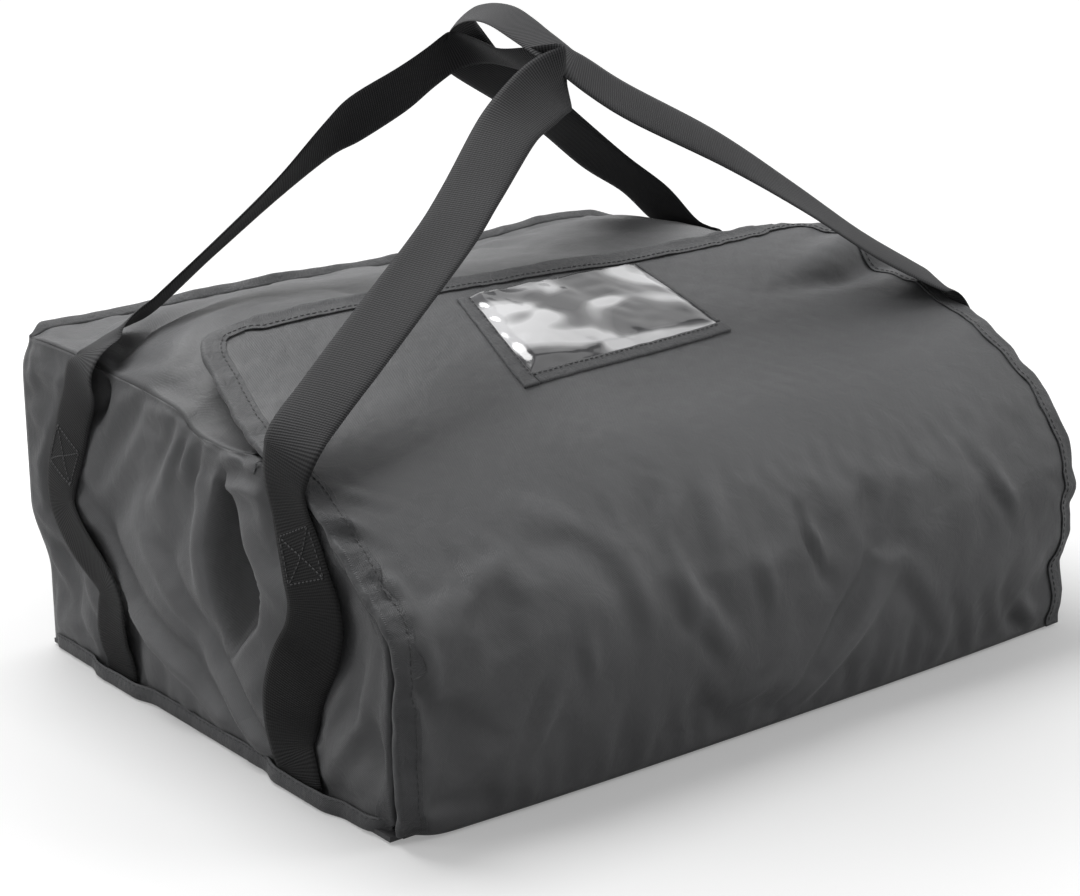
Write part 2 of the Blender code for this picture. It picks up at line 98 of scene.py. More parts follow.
# how far the cloth stands out along drawn folds:
# a fold is its points, its half width at both ends, its height, and the share that dips beside it
def foldField(a, b, folds):
    total = np.zeros_like(a)
    for points, widths, height, dip in folds:
        best, signed, along = np.full(a.shape, 9.0), np.zeros_like(a), np.zeros_like(a)
        pairs = list(zip(points[:-1], points[1:]))
        whole = sum(math.dist(p, q) for p, q in pairs)
        run = 0.0
        for (a0, b0), (a1, b1) in pairs:
            da, db = a1 - a0, b1 - b0
            size = math.hypot(da, db)
            t = np.clip(((a - a0) * da + (b - b0) * db) / size**2, 0, 1)
            gap = np.hypot(a - a0 - t * da, b - b0 - t * db)
            near = gap < best
            best = np.where(near, gap, best)
            signed = np.where(near, ((a - a0) * db - (b - b0) * da) / size, signed)
            along = np.where(near, (run + t * size) / whole, along)
            run += size
        width = widths[0] + (widths[1] - widths[0]) * along
        fade = np.sin(math.pi * (0.1 + 0.8 * along))
        total += height * fade * np.exp(-((best / width) ** 2))
        total -= dip * height * fade * np.exp(-(((signed - 1.8 * width) / width) ** 2) - (np.maximum(best - 3 * width, 0) / width) ** 2)
    return total


# outward normals of a grid of points
def gridNormals(grid, flip=1):
    down, across = np.gradient(grid, axis=0), np.gradient(grid, axis=1)
    n = np.cross(across, down) * flip
    return n / np.maximum(np.linalg.norm(n, axis=2, keepdims=True), 1e-12)


# the distance along the cloth from each of a grid's four sides: first row, last row, first column, last column
def sideGaps(grid):
    down = np.r_[np.zeros((1, grid.shape[1])), np.cumsum(np.linalg.norm(np.diff(grid, axis=0), axis=2), axis=0)]
    across = np.c_[np.zeros((grid.shape[0], 1)), np.cumsum(np.linalg.norm(np.diff(grid, axis=1), axis=2), axis=1)]
    return down, down[-1:] - down, across, across[:, -1:] - across


# a mesh object from arrays, with its flat cut as UV in metres
def makeMesh(name, points, faces, cut=None, wearAndShadeMarks=None, smooth=True):
    mesh = bpy.data.meshes.new(name)
    mesh.from_pydata(np.asarray(points, float).reshape(-1, 3).tolist(), [], [list(map(int, f)) for f in faces])
    if smooth:
        mesh.polygons.foreach_set("use_smooth", [True] * len(mesh.polygons))
    if cut is not None:
        loops = np.zeros(len(mesh.loops), int)
        mesh.loops.foreach_get("vertex_index", loops)
        flat = np.asarray(cut, float).reshape(-1, 2)[loops]
        mesh.uv_layers.new(name="cut").data.foreach_set("uv", flat.ravel())
    if wearAndShadeMarks is not None:
        mesh.attributes.new("wearAndShade", "FLOAT", "POINT").data.foreach_set("value", np.asarray(wearAndShadeMarks, np.float32).ravel())
    mesh.validate()
    piece = bpy.data.objects.new(name, mesh)
    bpy.context.scene.collection.objects.link(piece)
    return piece


def gridFaces(rows, columns, start=0, flip=False):
    i, j = np.meshgrid(np.arange(rows - 1), np.arange(columns - 1), indexing="ij")
    a = (start + i * columns + j).ravel()
    quads = np.stack([a, a + 1, a + columns + 1, a + columns], axis=1)
    return quads[:, ::-1] if flip else quads


# a closed pad between an outer and an inner grid
def closedPad(name, outer, inner, cut, wearAndShadeMarks=None, flip=False):
    rows, columns = outer.shape[:2]
    size = rows * columns
    faces = [*gridFaces(rows, columns, 0, flip), *gridFaces(rows, columns, size, not flip)]
    rim = [j for j in range(columns)] + [i * columns + columns - 1 for i in range(1, rows)]
    rim += [(rows - 1) * columns + j for j in range(columns - 2, -1, -1)] + [i * columns for i in range(rows - 2, 0, -1)]
    for a, b in zip(rim, rim[1:] + rim[:1]):
        quad = [b, a, a + size, b + size]
        faces.append(quad[::-1] if flip else quad)
    both = np.concatenate([outer.reshape(-1, 3), inner.reshape(-1, 3)])
    cuts = np.concatenate([cut.reshape(-1, 2)] * 2)
    wornAndShaded = None if wearAndShadeMarks is None else np.concatenate([wearAndShadeMarks.ravel(), np.zeros(size)])
    return makeMesh(name, both, faces, cuts, wornAndShaded)


# a thin closed sheet laid under a grid
def thinSheet(name, grid, normals, gap, thick, cut, step=2, inset=2, flip=False):
    pick = lambda array: array[inset : array.shape[0] - inset : step, inset : array.shape[1] - inset : step]
    under, n, flat = pick(grid), pick(normals), pick(cut)
    return closedPad(name, under - n * gap, under - n * (gap + thick), flat, None, flip)


# reads a grid between its points, at fractions of rows and columns
def resample(grid, rowAt, columnAt):
    r, c = np.minimum(rowAt.astype(int), grid.shape[0] - 2), np.minimum(columnAt.astype(int), grid.shape[1] - 2)
    fr, fc = (rowAt - r)[:, None, None], (columnAt - c)[None, :, None]
    pick = lambda i, j: grid[r + i][:, c + j]
    return (pick(0, 0) * (1 - fc) + pick(0, 1) * fc) * (1 - fr) + (pick(1, 0) * (1 - fc) + pick(1, 1) * fc) * fr


# lets a grid of cloth with spare length buckle into its own creases; hold is 1 where it is sewn down and small where foam carries it
def settleCloth(name, full, fullHold, spare, cap, frames=16, bending=0.2, weight=0.0, soften=2):
    rows, columns = full.shape[0] // 2 + 1, full.shape[1] // 2 + 1
    rowAt, columnAt = np.linspace(0, full.shape[0] - 1, rows), np.linspace(0, full.shape[1] - 1, columns)
    grid = resample(full, rowAt, columnAt)
    hold = resample(np.asarray(fullHold, float)[..., None], rowAt, columnAt)
    piece = makeMesh(name, grid, gridFaces(rows, columns))
    held = piece.vertex_groups.new(name="held")
    for i, share in enumerate(hold.ravel()):
        held.add([i], float(share), "REPLACE")
    cloth = piece.modifiers.new("Cloth", "CLOTH")
    cloth.settings.quality = 6
    cloth.settings.mass = 0.15
    cloth.settings.tension_stiffness = 18
    cloth.settings.compression_stiffness = 18
    cloth.settings.shear_stiffness = 6
    cloth.settings.bending_stiffness = bending
    cloth.settings.vertex_group_mass = "held"
    cloth.settings.pin_stiffness = 1.0
    cloth.settings.shrink_min = -spare
    cloth.settings.effector_weights.gravity = weight
    cloth.collision_settings.use_collision = False
    cloth.point_cache.frame_start, cloth.point_cache.frame_end = 1, frames
    for frameNumber in range(1, frames + 1):
        bpy.context.scene.frame_set(frameNumber)
    shaped = piece.evaluated_get(bpy.context.evaluated_depsgraph_get()).data
    found = np.zeros(rows * columns * 3)
    shaped.vertices.foreach_get("co", found)
    bpy.data.objects.remove(piece)
    bpy.context.scene.frame_set(1)
    move = found.reshape(grid.shape) - grid
    move = resample(move, np.linspace(0, rows - 1, full.shape[0]), np.linspace(0, columns - 1, full.shape[1]))
    for _ in range(soften):
        move[1:-1] = (move[:-2] + 2 * move[1:-1] + move[2:]) / 4
        move[:, 1:-1] = (move[:, :-2] + 2 * move[:, 1:-1] + move[:, 2:]) / 4
    size = np.maximum(np.linalg.norm(move, axis=2, keepdims=True), 1e-9)
    return full + move / size * cap * np.tanh(size / cap)


def surfaceOf(piece):
    mesh = piece.data
    return BVHTree.FromPolygons([v.co for v in mesh.vertices], [p.vertices[:] for p in mesh.polygons])


print("bag: fabric")


# an empty material with its shader
def newMaterial(name):
    material = bpy.data.materials.new(name)
    material.use_nodes = True
    nodes, links = material.node_tree.nodes, material.node_tree.links
    shader = nodes["Principled BSDF"]
    return material, nodes, links, shader


def addNode(nodes, kind, **values):
    made = nodes.new(kind)
    for key, value in values.items():
        if key in made.inputs:
            made.inputs[key].default_value = value
        else:
            setattr(made, key, value)
    return made


def startGroup(name, numbers, colours, answers):
    tree = bpy.data.node_groups.new(name, "ShaderNodeTree")
    for key, value in numbers.items():
        made = tree.interface.new_socket(name=key, in_out="INPUT", socket_type="NodeSocketFloat")
        made.default_value = value
    for key, value in colours.items():
        made = tree.interface.new_socket(name=key, in_out="INPUT", socket_type="NodeSocketColor")
        made.default_value = (*value, 1)
    for key, kind in answers.items():
        tree.interface.new_socket(name=key, in_out="OUTPUT", socket_type=kind)
    return tree, tree.nodes, tree.links, tree.nodes.new("NodeGroupInput"), tree.nodes.new("NodeGroupOutput")


# a plain weave over the flat cut, two threads a pitch, and the dark of the holes between them
def weaveGroup():
    tree, nodes, links, into, out = startGroup(
        "wovenThreads", {"Pitch": 0.0009, "Depth": 0.3}, {"Colour": (0.08, 0.08, 0.08)},
        {"Colour": "NodeSocketColor", "Height": "NodeSocketFloat"})
    uv = addNode(nodes, "ShaderNodeUVMap", uv_map="cut")
    split = nodes.new("ShaderNodeSeparateXYZ")
    links.new(uv.outputs[0], split.inputs[0])
    waves = []
    for axis in ("X", "Y"):
        share = addNode(nodes, "ShaderNodeMath", operation="DIVIDE")
        links.new(split.outputs[axis], share.inputs[0])
        links.new(into.outputs["Pitch"], share.inputs[1])
        turn = addNode(nodes, "ShaderNodeMath", operation="MULTIPLY")
        turn.inputs[1].default_value = 2 * math.pi
        links.new(share.outputs[0], turn.inputs[0])
        sine = addNode(nodes, "ShaderNodeMath", operation="SINE")
        links.new(turn.outputs[0], sine.inputs[0])
        waves.append(sine)
    both = addNode(nodes, "ShaderNodeMath", operation="MULTIPLY")
    links.new(waves[0].outputs[0], both.inputs[0])
    links.new(waves[1].outputs[0], both.inputs[1])
    height = addNode(nodes, "ShaderNodeMapRange")
    height.inputs["From Min"].default_value = -1
    links.new(both.outputs[0], height.inputs["Value"])
    links.new(height.outputs[0], out.inputs["Height"])
    dark = addNode(nodes, "ShaderNodeMath", operation="MULTIPLY_ADD")
    links.new(height.outputs[0], dark.inputs[0])
    links.new(into.outputs["Depth"], dark.inputs[1])
    flip = addNode(nodes, "ShaderNodeMath", operation="SUBTRACT")
    flip.inputs[0].default_value = 1
    links.new(into.outputs["Depth"], flip.inputs[1])
    links.new(flip.outputs[0], dark.inputs[2])
    tint = addNode(nodes, "ShaderNodeMix", data_type="RGBA", blend_type="MULTIPLY")
    tint.inputs["Factor"].default_value = 1
    links.new(into.outputs["Colour"], tint.inputs["A"])
    links.new(dark.outputs[0], tint.inputs["B"])
    links.new(tint.outputs["Result"], out.inputs["Colour"])
    return tree


# soft patches, small creases and, from the cover's marks, rubbed places where the cloth stands out and painted shade in
# the side's recess
def clothAgeAndShadeGroup():
    tree, nodes, links, into, out = startGroup(
        "handledClothAndShade", {"Patches": 0.12, "Rubbed": 0.2, "Crease Size": 60.0}, {"Colour": (0.08, 0.08, 0.08)},
        {"Colour": "NodeSocketColor", "Creases": "NodeSocketFloat"})
    place = nodes.new("ShaderNodeTexCoord")
    broad = addNode(nodes, "ShaderNodeTexNoise", Scale=9.0, Detail=4.0, Roughness=0.55)
    links.new(place.outputs["Object"], broad.inputs["Vector"])
    spread = addNode(nodes, "ShaderNodeMapRange")
    spread.inputs["From Min"].default_value = 0.3
    spread.inputs["From Max"].default_value = 0.7
    spread.inputs["To Min"].default_value = -1
    links.new(broad.outputs["Fac"], spread.inputs["Value"])
    amount = addNode(nodes, "ShaderNodeMath", operation="MULTIPLY")
    links.new(spread.outputs[0], amount.inputs[0])
    links.new(into.outputs["Patches"], amount.inputs[1])
    # the marks: rubbed wear where the cloth stands out, painted shade in the recess under the side's top seam
    wornAndShaded = addNode(nodes, "ShaderNodeAttribute", attribute_name="wearAndShade")
    rubbedAndShaded = addNode(nodes, "ShaderNodeMath", operation="MULTIPLY_ADD")
    links.new(wornAndShaded.outputs["Fac"], rubbedAndShaded.inputs[0])
    links.new(into.outputs["Rubbed"], rubbedAndShaded.inputs[1])
    links.new(amount.outputs[0], rubbedAndShaded.inputs[2])
    gain = addNode(nodes, "ShaderNodeMath", operation="ADD")
    gain.inputs[1].default_value = 1
    links.new(rubbedAndShaded.outputs[0], gain.inputs[0])
    tint = addNode(nodes, "ShaderNodeMix", data_type="RGBA", blend_type="MULTIPLY")
    tint.inputs["Factor"].default_value = 1
    links.new(into.outputs["Colour"], tint.inputs["A"])
    links.new(gain.outputs[0], tint.inputs["B"])
    links.new(tint.outputs["Result"], out.inputs["Colour"])
    fine = addNode(nodes, "ShaderNodeTexNoise", Detail=5.0, Roughness=0.6, Distortion=0.6)
    links.new(place.outputs["Object"], fine.inputs["Vector"])
    links.new(into.outputs["Crease Size"], fine.inputs["Scale"])
    links.new(fine.outputs["Fac"], out.inputs["Creases"])
    return tree


weave, handledAndShaded = weaveGroup(), clothAgeAndShadeGroup()


def useGroup(nodes, tree, **values):
    made = nodes.new("ShaderNodeGroup")
    made.node_tree = tree
    for key, value in values.items():
        socket = made.inputs[key.replace("_", " ")]
        socket.default_value = (*value, 1) if isinstance(value, tuple) else value
    return made


# a woven cloth: colour, thread pitch, thread relief, crease relief and gloss
def wovenCloth(name, colour, pitch, depth, relief, creases, creaseSize, rough, patches=0.12, rubbedAndShaded=0.25, sheen=0.15):
    material, nodes, links, shader = newMaterial(name)
    threads = useGroup(nodes, weave, Pitch=pitch, Depth=depth, Colour=colour)
    ageAndShade = useGroup(nodes, handledAndShaded, Patches=patches, Rubbed=rubbedAndShaded, Crease_Size=creaseSize)
    links.new(threads.outputs["Colour"], ageAndShade.inputs["Colour"])
    links.new(ageAndShade.outputs["Colour"], shader.inputs["Base Color"])
    wrinkled = addNode(nodes, "ShaderNodeBump", Strength=creases, Distance=0.004)
    links.new(ageAndShade.outputs["Creases"], wrinkled.inputs["Height"])
    woven = addNode(nodes, "ShaderNodeBump", Strength=relief, Distance=0.0004)
    links.new(threads.outputs["Height"], woven.inputs["Height"])
    links.new(wrinkled.outputs[0], woven.inputs["Normal"])
    links.new(woven.outputs[0], shader.inputs["Normal"])
    gloss = addNode(nodes, "ShaderNodeMapRange")
    gloss.inputs["To Min"].default_value = rough - 0.06
    gloss.inputs["To Max"].default_value = rough + 0.08
    links.new(ageAndShade.outputs["Creases"], gloss.inputs["Value"])
    links.new(gloss.outputs[0], shader.inputs["Roughness"])
    shader.inputs["Specular IOR Level"].default_value = 0.38
    shader.inputs["Sheen Weight"].default_value = sheen
    shader.inputs["Sheen Roughness"].default_value = 0.4
    return material


coverCloth = wovenCloth("coatedPolyester", (0.083, 0.084, 0.087), 0.00125, 0.22, 0.35, 0.22, 75.0, 0.5)
tapeCloth = wovenCloth("bindingTape", (0.058, 0.059, 0.062), 0.0012, 0.3, 0.5, 0.35, 150.0, 0.52, 0.14, 0.35)


# heavy webbing: ribs across the strap, and a finer thread along it
def webbingMaterial():
    material, nodes, links, shader = newMaterial("ribbedWebbing")
    uv = addNode(nodes, "ShaderNodeUVMap", uv_map="cut")
    split = nodes.new("ShaderNodeSeparateXYZ")
    links.new(uv.outputs[0], split.inputs[0])
    place = nodes.new("ShaderNodeTexCoord")
    uneven = addNode(nodes, "ShaderNodeTexNoise", Scale=260.0, Detail=3.0)
    links.new(place.outputs["Object"], uneven.inputs["Vector"])
    shift = addNode(nodes, "ShaderNodeMath", operation="MULTIPLY_ADD")
    shift.inputs[1].default_value = 1.6
    links.new(uneven.outputs["Fac"], shift.inputs[0])
    count = addNode(nodes, "ShaderNodeMath", operation="MULTIPLY")
    count.inputs[1].default_value = 2 * math.pi / 0.00165
    links.new(split.outputs["X"], count.inputs[0])
    links.new(count.outputs[0], shift.inputs[2])
    rib = addNode(nodes, "ShaderNodeMath", operation="SINE")
    links.new(shift.outputs[0], rib.inputs[0])
    thread = addNode(nodes, "ShaderNodeMath", operation="MULTIPLY")
    thread.inputs[1].default_value = 2 * math.pi / 0.0016
    links.new(split.outputs["Y"], thread.inputs[0])
    fine = addNode(nodes, "ShaderNodeMath", operation="SINE")
    links.new(thread.outputs[0], fine.inputs[0])
    height = addNode(nodes, "ShaderNodeMath", operation="MULTIPLY_ADD")
    height.inputs[1].default_value = 0.3
    links.new(fine.outputs[0], height.inputs[0])
    links.new(rib.outputs[0], height.inputs[2])
    tones = addNode(nodes, "ShaderNodeValToRGB")
    tones.color_ramp.elements[0].color = (0.010, 0.010, 0.011, 1)
    tones.color_ramp.elements[1].color = (0.056, 0.056, 0.058, 1)
    level = addNode(nodes, "ShaderNodeMapRange")
    level.inputs["From Min"].default_value = -1.3
    level.inputs["From Max"].default_value = 1.3
    links.new(height.outputs[0], level.inputs["Value"])
    links.new(level.outputs[0], tones.inputs[0])
    # the lengths on the sides, below the handles, are painted darker: painted shade, as they face away from the light
    heights = nodes.new("ShaderNodeSeparateXYZ")
    links.new(place.outputs["Object"], heights.inputs[0])
    sideShade = addNode(nodes, "ShaderNodeMapRange", interpolation_type="SMOOTHSTEP")
    sideShade.inputs["From Min"].default_value, sideShade.inputs["From Max"].default_value = 0.165, 0.225
    sideShade.inputs["To Min"].default_value = 0.20
    links.new(heights.outputs["Z"], sideShade.inputs["Value"])
    shadedWebbing = addNode(nodes, "ShaderNodeMix", data_type="RGBA", blend_type="MULTIPLY")
    shadedWebbing.inputs["Factor"].default_value = 1
    links.new(tones.outputs[0], shadedWebbing.inputs["A"])
    links.new(sideShade.outputs[0], shadedWebbing.inputs["B"])
    ageAndShade = useGroup(nodes, handledAndShaded, Patches=0.15, Rubbed=0.3, Crease_Size=200.0)
    links.new(shadedWebbing.outputs["Result"], ageAndShade.inputs["Colour"])
    links.new(ageAndShade.outputs["Colour"], shader.inputs["Base Color"])
    bump = addNode(nodes, "ShaderNodeBump", Strength=0.6, Distance=0.0005)
    links.new(level.outputs[0], bump.inputs["Height"])
    links.new(bump.outputs[0], shader.inputs["Normal"])
    shader.inputs["Roughness"].default_value = 0.66
    shader.inputs["Specular IOR Level"].default_value = 0.14
    shader.inputs["Sheen Weight"].default_value = 0.04
    return material


webbing = webbingMaterial()


def foilMaterial():
    material, nodes, links, shader = newMaterial("foilLining")
    place = nodes.new("ShaderNodeTexCoord")
    crumple = addNode(nodes, "ShaderNodeTexVoronoi", Scale=55.0, feature="DISTANCE_TO_EDGE")
    links.new(place.outputs["Object"], crumple.inputs["Vector"])
    soft = addNode(nodes, "ShaderNodeTexNoise", Scale=38.0, Detail=6.0, Distortion=1.2)
    links.new(place.outputs["Object"], soft.inputs["Vector"])
    mixed = addNode(nodes, "ShaderNodeMath", operation="MULTIPLY_ADD")
    mixed.inputs[1].default_value = 0.4
    links.new(crumple.outputs["Distance"], mixed.inputs[0])
    links.new(soft.outputs["Fac"], mixed.inputs[2])
    bump = addNode(nodes, "ShaderNodeBump", Strength=0.55, Distance=0.003)
    links.new(mixed.outputs[0], bump.inputs["Height"])
    links.new(bump.outputs[0], shader.inputs["Normal"])
    tones = addNode(nodes, "ShaderNodeValToRGB")
    tones.color_ramp.elements[0].color = (0.42, 0.43, 0.45, 1)
    tones.color_ramp.elements[1].color = (0.78, 0.79, 0.8, 1)
    links.new(soft.outputs["Fac"], tones.inputs[0])
    links.new(tones.outputs[0], shader.inputs["Base Color"])
    shader.inputs["Metallic"].default_value = 0.85
    shader.inputs["Roughness"].default_value = 0.34
    return material


foil = foilMaterial()


# clear film over the dark cloth: broad waves of the room's light are painted into its colour as painted reflections
def filmMaterial():
    material, nodes, links, shader = newMaterial("clearFilm")
    uv = addNode(nodes, "ShaderNodeUVMap", uv_map="cut")
    turned = addNode(nodes, "ShaderNodeMapping")
    turned.inputs["Rotation"].default_value = (0, 0, 0.5)
    turned.inputs["Scale"].default_value = (0.6, 1.15, 1.0)
    links.new(uv.outputs[0], turned.inputs["Vector"])
    soft = addNode(nodes, "ShaderNodeTexNoise", Scale=21.0, Detail=1.0, Roughness=0.35, Distortion=1.1)
    links.new(turned.outputs[0], soft.inputs["Vector"])
    # pale bands of painted reflection over the dark film
    tones = addNode(nodes, "ShaderNodeValToRGB")
    tones.color_ramp.elements[0].position = 0.41
    tones.color_ramp.elements[0].color = (0.10, 0.10, 0.104, 1)
    tones.color_ramp.elements[1].position = 0.55
    tones.color_ramp.elements[1].color = (0.72, 0.72, 0.73, 1)
    middle = tones.color_ramp.elements.new(0.47)
    middle.color = (0.22, 0.22, 0.225, 1)
    links.new(soft.outputs["Fac"], tones.inputs[0])
    links.new(tones.outputs[0], shader.inputs["Base Color"])
    bump = addNode(nodes, "ShaderNodeBump", Strength=0.05, Distance=0.004)
    links.new(soft.outputs["Fac"], bump.inputs["Height"])
    links.new(bump.outputs[0], shader.inputs["Normal"])
    shader.inputs["Roughness"].default_value = 0.1
    shader.inputs["Coat Weight"].default_value = 0.35
    shader.inputs["Coat Roughness"].default_value = 0.05
    return material


film = filmMaterial()


def plainMaterial(name, dark, light, size, rough, relief=0.2, distance=0.001):
    material, nodes, links, shader = newMaterial(name)
    place = nodes.new("ShaderNodeTexCoord")
    grain = addNode(nodes, "ShaderNodeTexNoise", Scale=size, Detail=5.0, Roughness=0.6)
    links.new(place.outputs["Object"], grain.inputs["Vector"])
    tones = addNode(nodes, "ShaderNodeValToRGB")
    tones.color_ramp.elements[0].color = (*dark, 1)
    tones.color_ramp.elements[1].color = (*light, 1)
    links.new(grain.outputs["Fac"], tones.inputs[0])
    links.new(tones.outputs[0], shader.inputs["Base Color"])
    bump = addNode(nodes, "ShaderNodeBump", Strength=relief, Distance=distance)
    links.new(grain.outputs["Fac"], bump.inputs["Height"])
    links.new(bump.outputs[0], shader.inputs["Normal"])
    shader.inputs["Roughness"].default_value = rough
    return material


threadMaterial = plainMaterial("sewingThread", (0.024, 0.024, 0.025), (0.060, 0.060, 0.062), 900.0, 0.6)
hookMaterial = plainMaterial("hookAndLoop", (0.008, 0.008, 0.009), (0.05, 0.05, 0.052), 1400.0, 0.9, 0.9, 0.0015)
boardMaterial = plainMaterial("stiffBoard", (0.03, 0.03, 0.032), (0.07, 0.07, 0.072), 220.0, 0.5)


def dress(piece, material):
    piece.data.materials.clear()
    piece.data.materials.append(material)
    return piece


print("bag: front wall and flap")


# the stuffed back left edge stands out, and the low corner in front is rounded; all the pieces that meet there take the same move
def cornerSag(grid):
    x, y, z = grid[..., 0], grid[..., 1], grid[..., 2]
    near = np.exp(-((x + 0.2748) ** 2 + (y - 0.1985) ** 2) / 0.040**2)
    out = near * ease((z - 0.052) / 0.05)
    corner = np.exp(-((x + 0.2748) ** 2 + (y - 0.1985) ** 2 + (z - 0.2145) ** 2) / 0.014**2)
    low = np.exp(-((x + 0.2750) ** 2 + (y + 0.1930) ** 2 + z**2) / 0.017**2)
    moveX = 0.0040 * corner - 0.0085 * out + 0.0065 * low
    moveY = 0.0055 * out - 0.0045 * corner + 0.0055 * low
    move = np.stack([moveX, moveY, 0.0030 * low - 0.003 * corner], axis=-1)
    return grid + move


frontWall = {
    "half": 0.275, "taper": 0.018, "corner": 0.028, "wall": 0.0078,
    "columns": 185, "rows": (42, 48, 42),
    "leftLine": [(-0.198, 0.002), (-0.201, 0.05), (-0.202, 0.10), (-0.194, 0.122), (-0.175, 0.138), (-0.152, 0.157), (-0.121, 0.178),
                 (-0.092, 0.191), (-0.069, 0.198), (-0.045, 0.205), (-0.02, 0.215), (0.010, 0.229), (0.035, 0.2365)],
    "middleLine": [(-0.204, 0.002), (-0.209, 0.05), (-0.206, 0.098), (-0.197, 0.122), (-0.183, 0.144), (-0.163, 0.164), (-0.135, 0.182),
                   (-0.100, 0.196), (-0.0715, 0.2065), (-0.0285, 0.2235), (0.0175, 0.2405), (0.035, 0.2465)],
    "rightLine": [(-0.200, 0.002), (-0.205, 0.07), (-0.210, 0.106), (-0.201, 0.132), (-0.187, 0.155), (-0.169, 0.173), (-0.140, 0.193),
                  (-0.112, 0.205), (-0.079, 0.2185), (-0.049, 0.230), (-0.018, 0.2470), (0.010, 0.2545), (0.035, 0.2550)],
    "leftSpread": 2.2, "rightSpread": 3.0, "scallop": 0.0032, "foldGain": 1.5,
    "foldHeight": 0.119, "browDepth": -0.085, "innerFace": -0.2000, "slopePlane": ((-0.196, 0.122), (-0.7034, 0.7108)),
    # dents on the slope: across, below the free edge, half sizes, depth
    "dents": [((0.236, 0.078), (0.050, 0.011), -0.0100), ((0.240, 0.052), (0.035, 0.012), 0.0030), ((0.10, 0.16), (0.09, 0.03), -0.0014)],
    "folds": [
        ([(0.092, 0.080), (0.023, 0.015)], (0.010, 0.007), 0.0040, 0.8),
        ([(0.031, 0.124), (0.036, 0.096)], (0.004, 0.003), 0.0020, 1.0),
        ([(-0.172, 0.071), (-0.189, 0.037)], (0.006, 0.005), 0.0024, 0.7),
        ([(-0.154, 0.093), (-0.150, 0.068)], (0.005, 0.004), 0.0018, 0.6),
        ([(-0.011, 0.038), (-0.029, 0.026)], (0.004, 0.004), 0.0012, 0.6),
        ([(-0.014, 0.112), (-0.012, 0.080)], (0.007, 0.005), 0.0018, 0.6),
        ([(0.199, 0.125), (0.209, 0.099)], (0.007, 0.005), 0.0020, 0.7),
        ([(-0.072, 0.101), (-0.044, 0.060)], (0.009, 0.007), 0.0022, 0.6),
        ([(-0.114, 0.131), (-0.106, 0.081)], (0.010, 0.008), 0.0022, 0.6),
        ([(-0.075, 0.121), (-0.074, 0.074)], (0.007, 0.006), 0.0018, 0.6),
        ([(-0.259, 0.113), (-0.250, 0.082)], (0.006, 0.005), 0.0024, 0.8),
        ([(0.104, 0.085), (0.135, 0.051)], (0.010, 0.008), 0.0018, 0.5),
        ([(0.226, 0.031), (0.244, 0.009)], (0.008, 0.006), 0.0022, 0.6),
        ([(-0.272, 0.123), (-0.262, 0.053)], (0.006, 0.006), 0.0020, 0.5),
        ([(-0.072, 0.175), (-0.097, 0.134)], (0.012, 0.012), -0.0020, 0.3),
        ([(-0.164, 0.177), (-0.125, 0.148)], (0.012, 0.010), 0.0016, 0.5),
        ([(-0.259, 0.221), (-0.244, 0.209)], (0.004, 0.004), 0.0016, 0.8),
        ([(-0.273, 0.205), (-0.256, 0.187)], (0.004, 0.005), 0.0020, 0.8),
        ([(-0.262, 0.164), (-0.258, 0.134)], (0.005, 0.005), 0.0022, 0.8),
        ([(-0.030, 0.165), (-0.048, 0.112)], (0.010, 0.008), 0.0014, 0.5),
        ([(0.105, 0.136), (0.085, 0.095)], (0.010, 0.008), 0.0014, 0.5),
    ],
}


# one profile in three parts, so that the bend and the brow of all profiles fall on the same rows
def profileRows(line, cut):
    dense = softCurve(line, 600)
    bend = int(np.argmax(dense[:, 1] >= cut["foldHeight"]))
    brow = int(np.argmax(dense[:, 0] >= cut["browDepth"]))
    low, middle, high = cut["rows"]
    return np.vstack([
        evenly(dense[: bend + 1], low + 1)[:-1],
        evenly(dense[bend : brow + 1], middle + 1)[:-1],
        evenly(dense[brow:], high + 1),
    ])


def frontGrid(cut):
    left, middle, right = (profileRows(cut[k], cut) for k in ("leftLine", "middleLine", "rightLine"))
    along = np.r_[0, np.cumsum(np.linalg.norm(np.diff(middle, axis=0), axis=1))]
    rows = len(middle)
    brow = cut["rows"][0] + cut["rows"][1]
    half = np.full(rows, cut["half"])
    half[brow:] -= cut["taper"] * ease(np.linspace(0, 1, rows - brow))
    fromEdge = along[-1] - along
    corner = cut["corner"]
    rounding = np.where(fromEdge < corner, corner - np.sqrt(np.maximum(corner**2 - (corner - fromEdge) ** 2, 0)), 0)
    half = half - rounding
    u = np.linspace(-1, 1, cut["columns"])
    x = half[:, None] * u[None, :]
    share = np.abs(x / cut["half"])
    # the right edge is drawn in between its gathers
    scallop = cut["scallop"] * rolling(along, along * 0, 0.021, 9) - 0.001
    x += scallop[:, None] * ease((u - 0.86) / 0.14)[None, :] * ease(along / 0.02)[:, None]
    side = np.where(x < 0, share ** cut["leftSpread"], share ** cut["rightSpread"])[..., None]
    edge = np.where((x < 0)[..., None], left[:, None, :], right[:, None, :])
    yz = (1 - side) * middle[:, None, :] + side * edge
    grid = np.dstack([x, yz[..., 0], yz[..., 1]])
    return grid, along


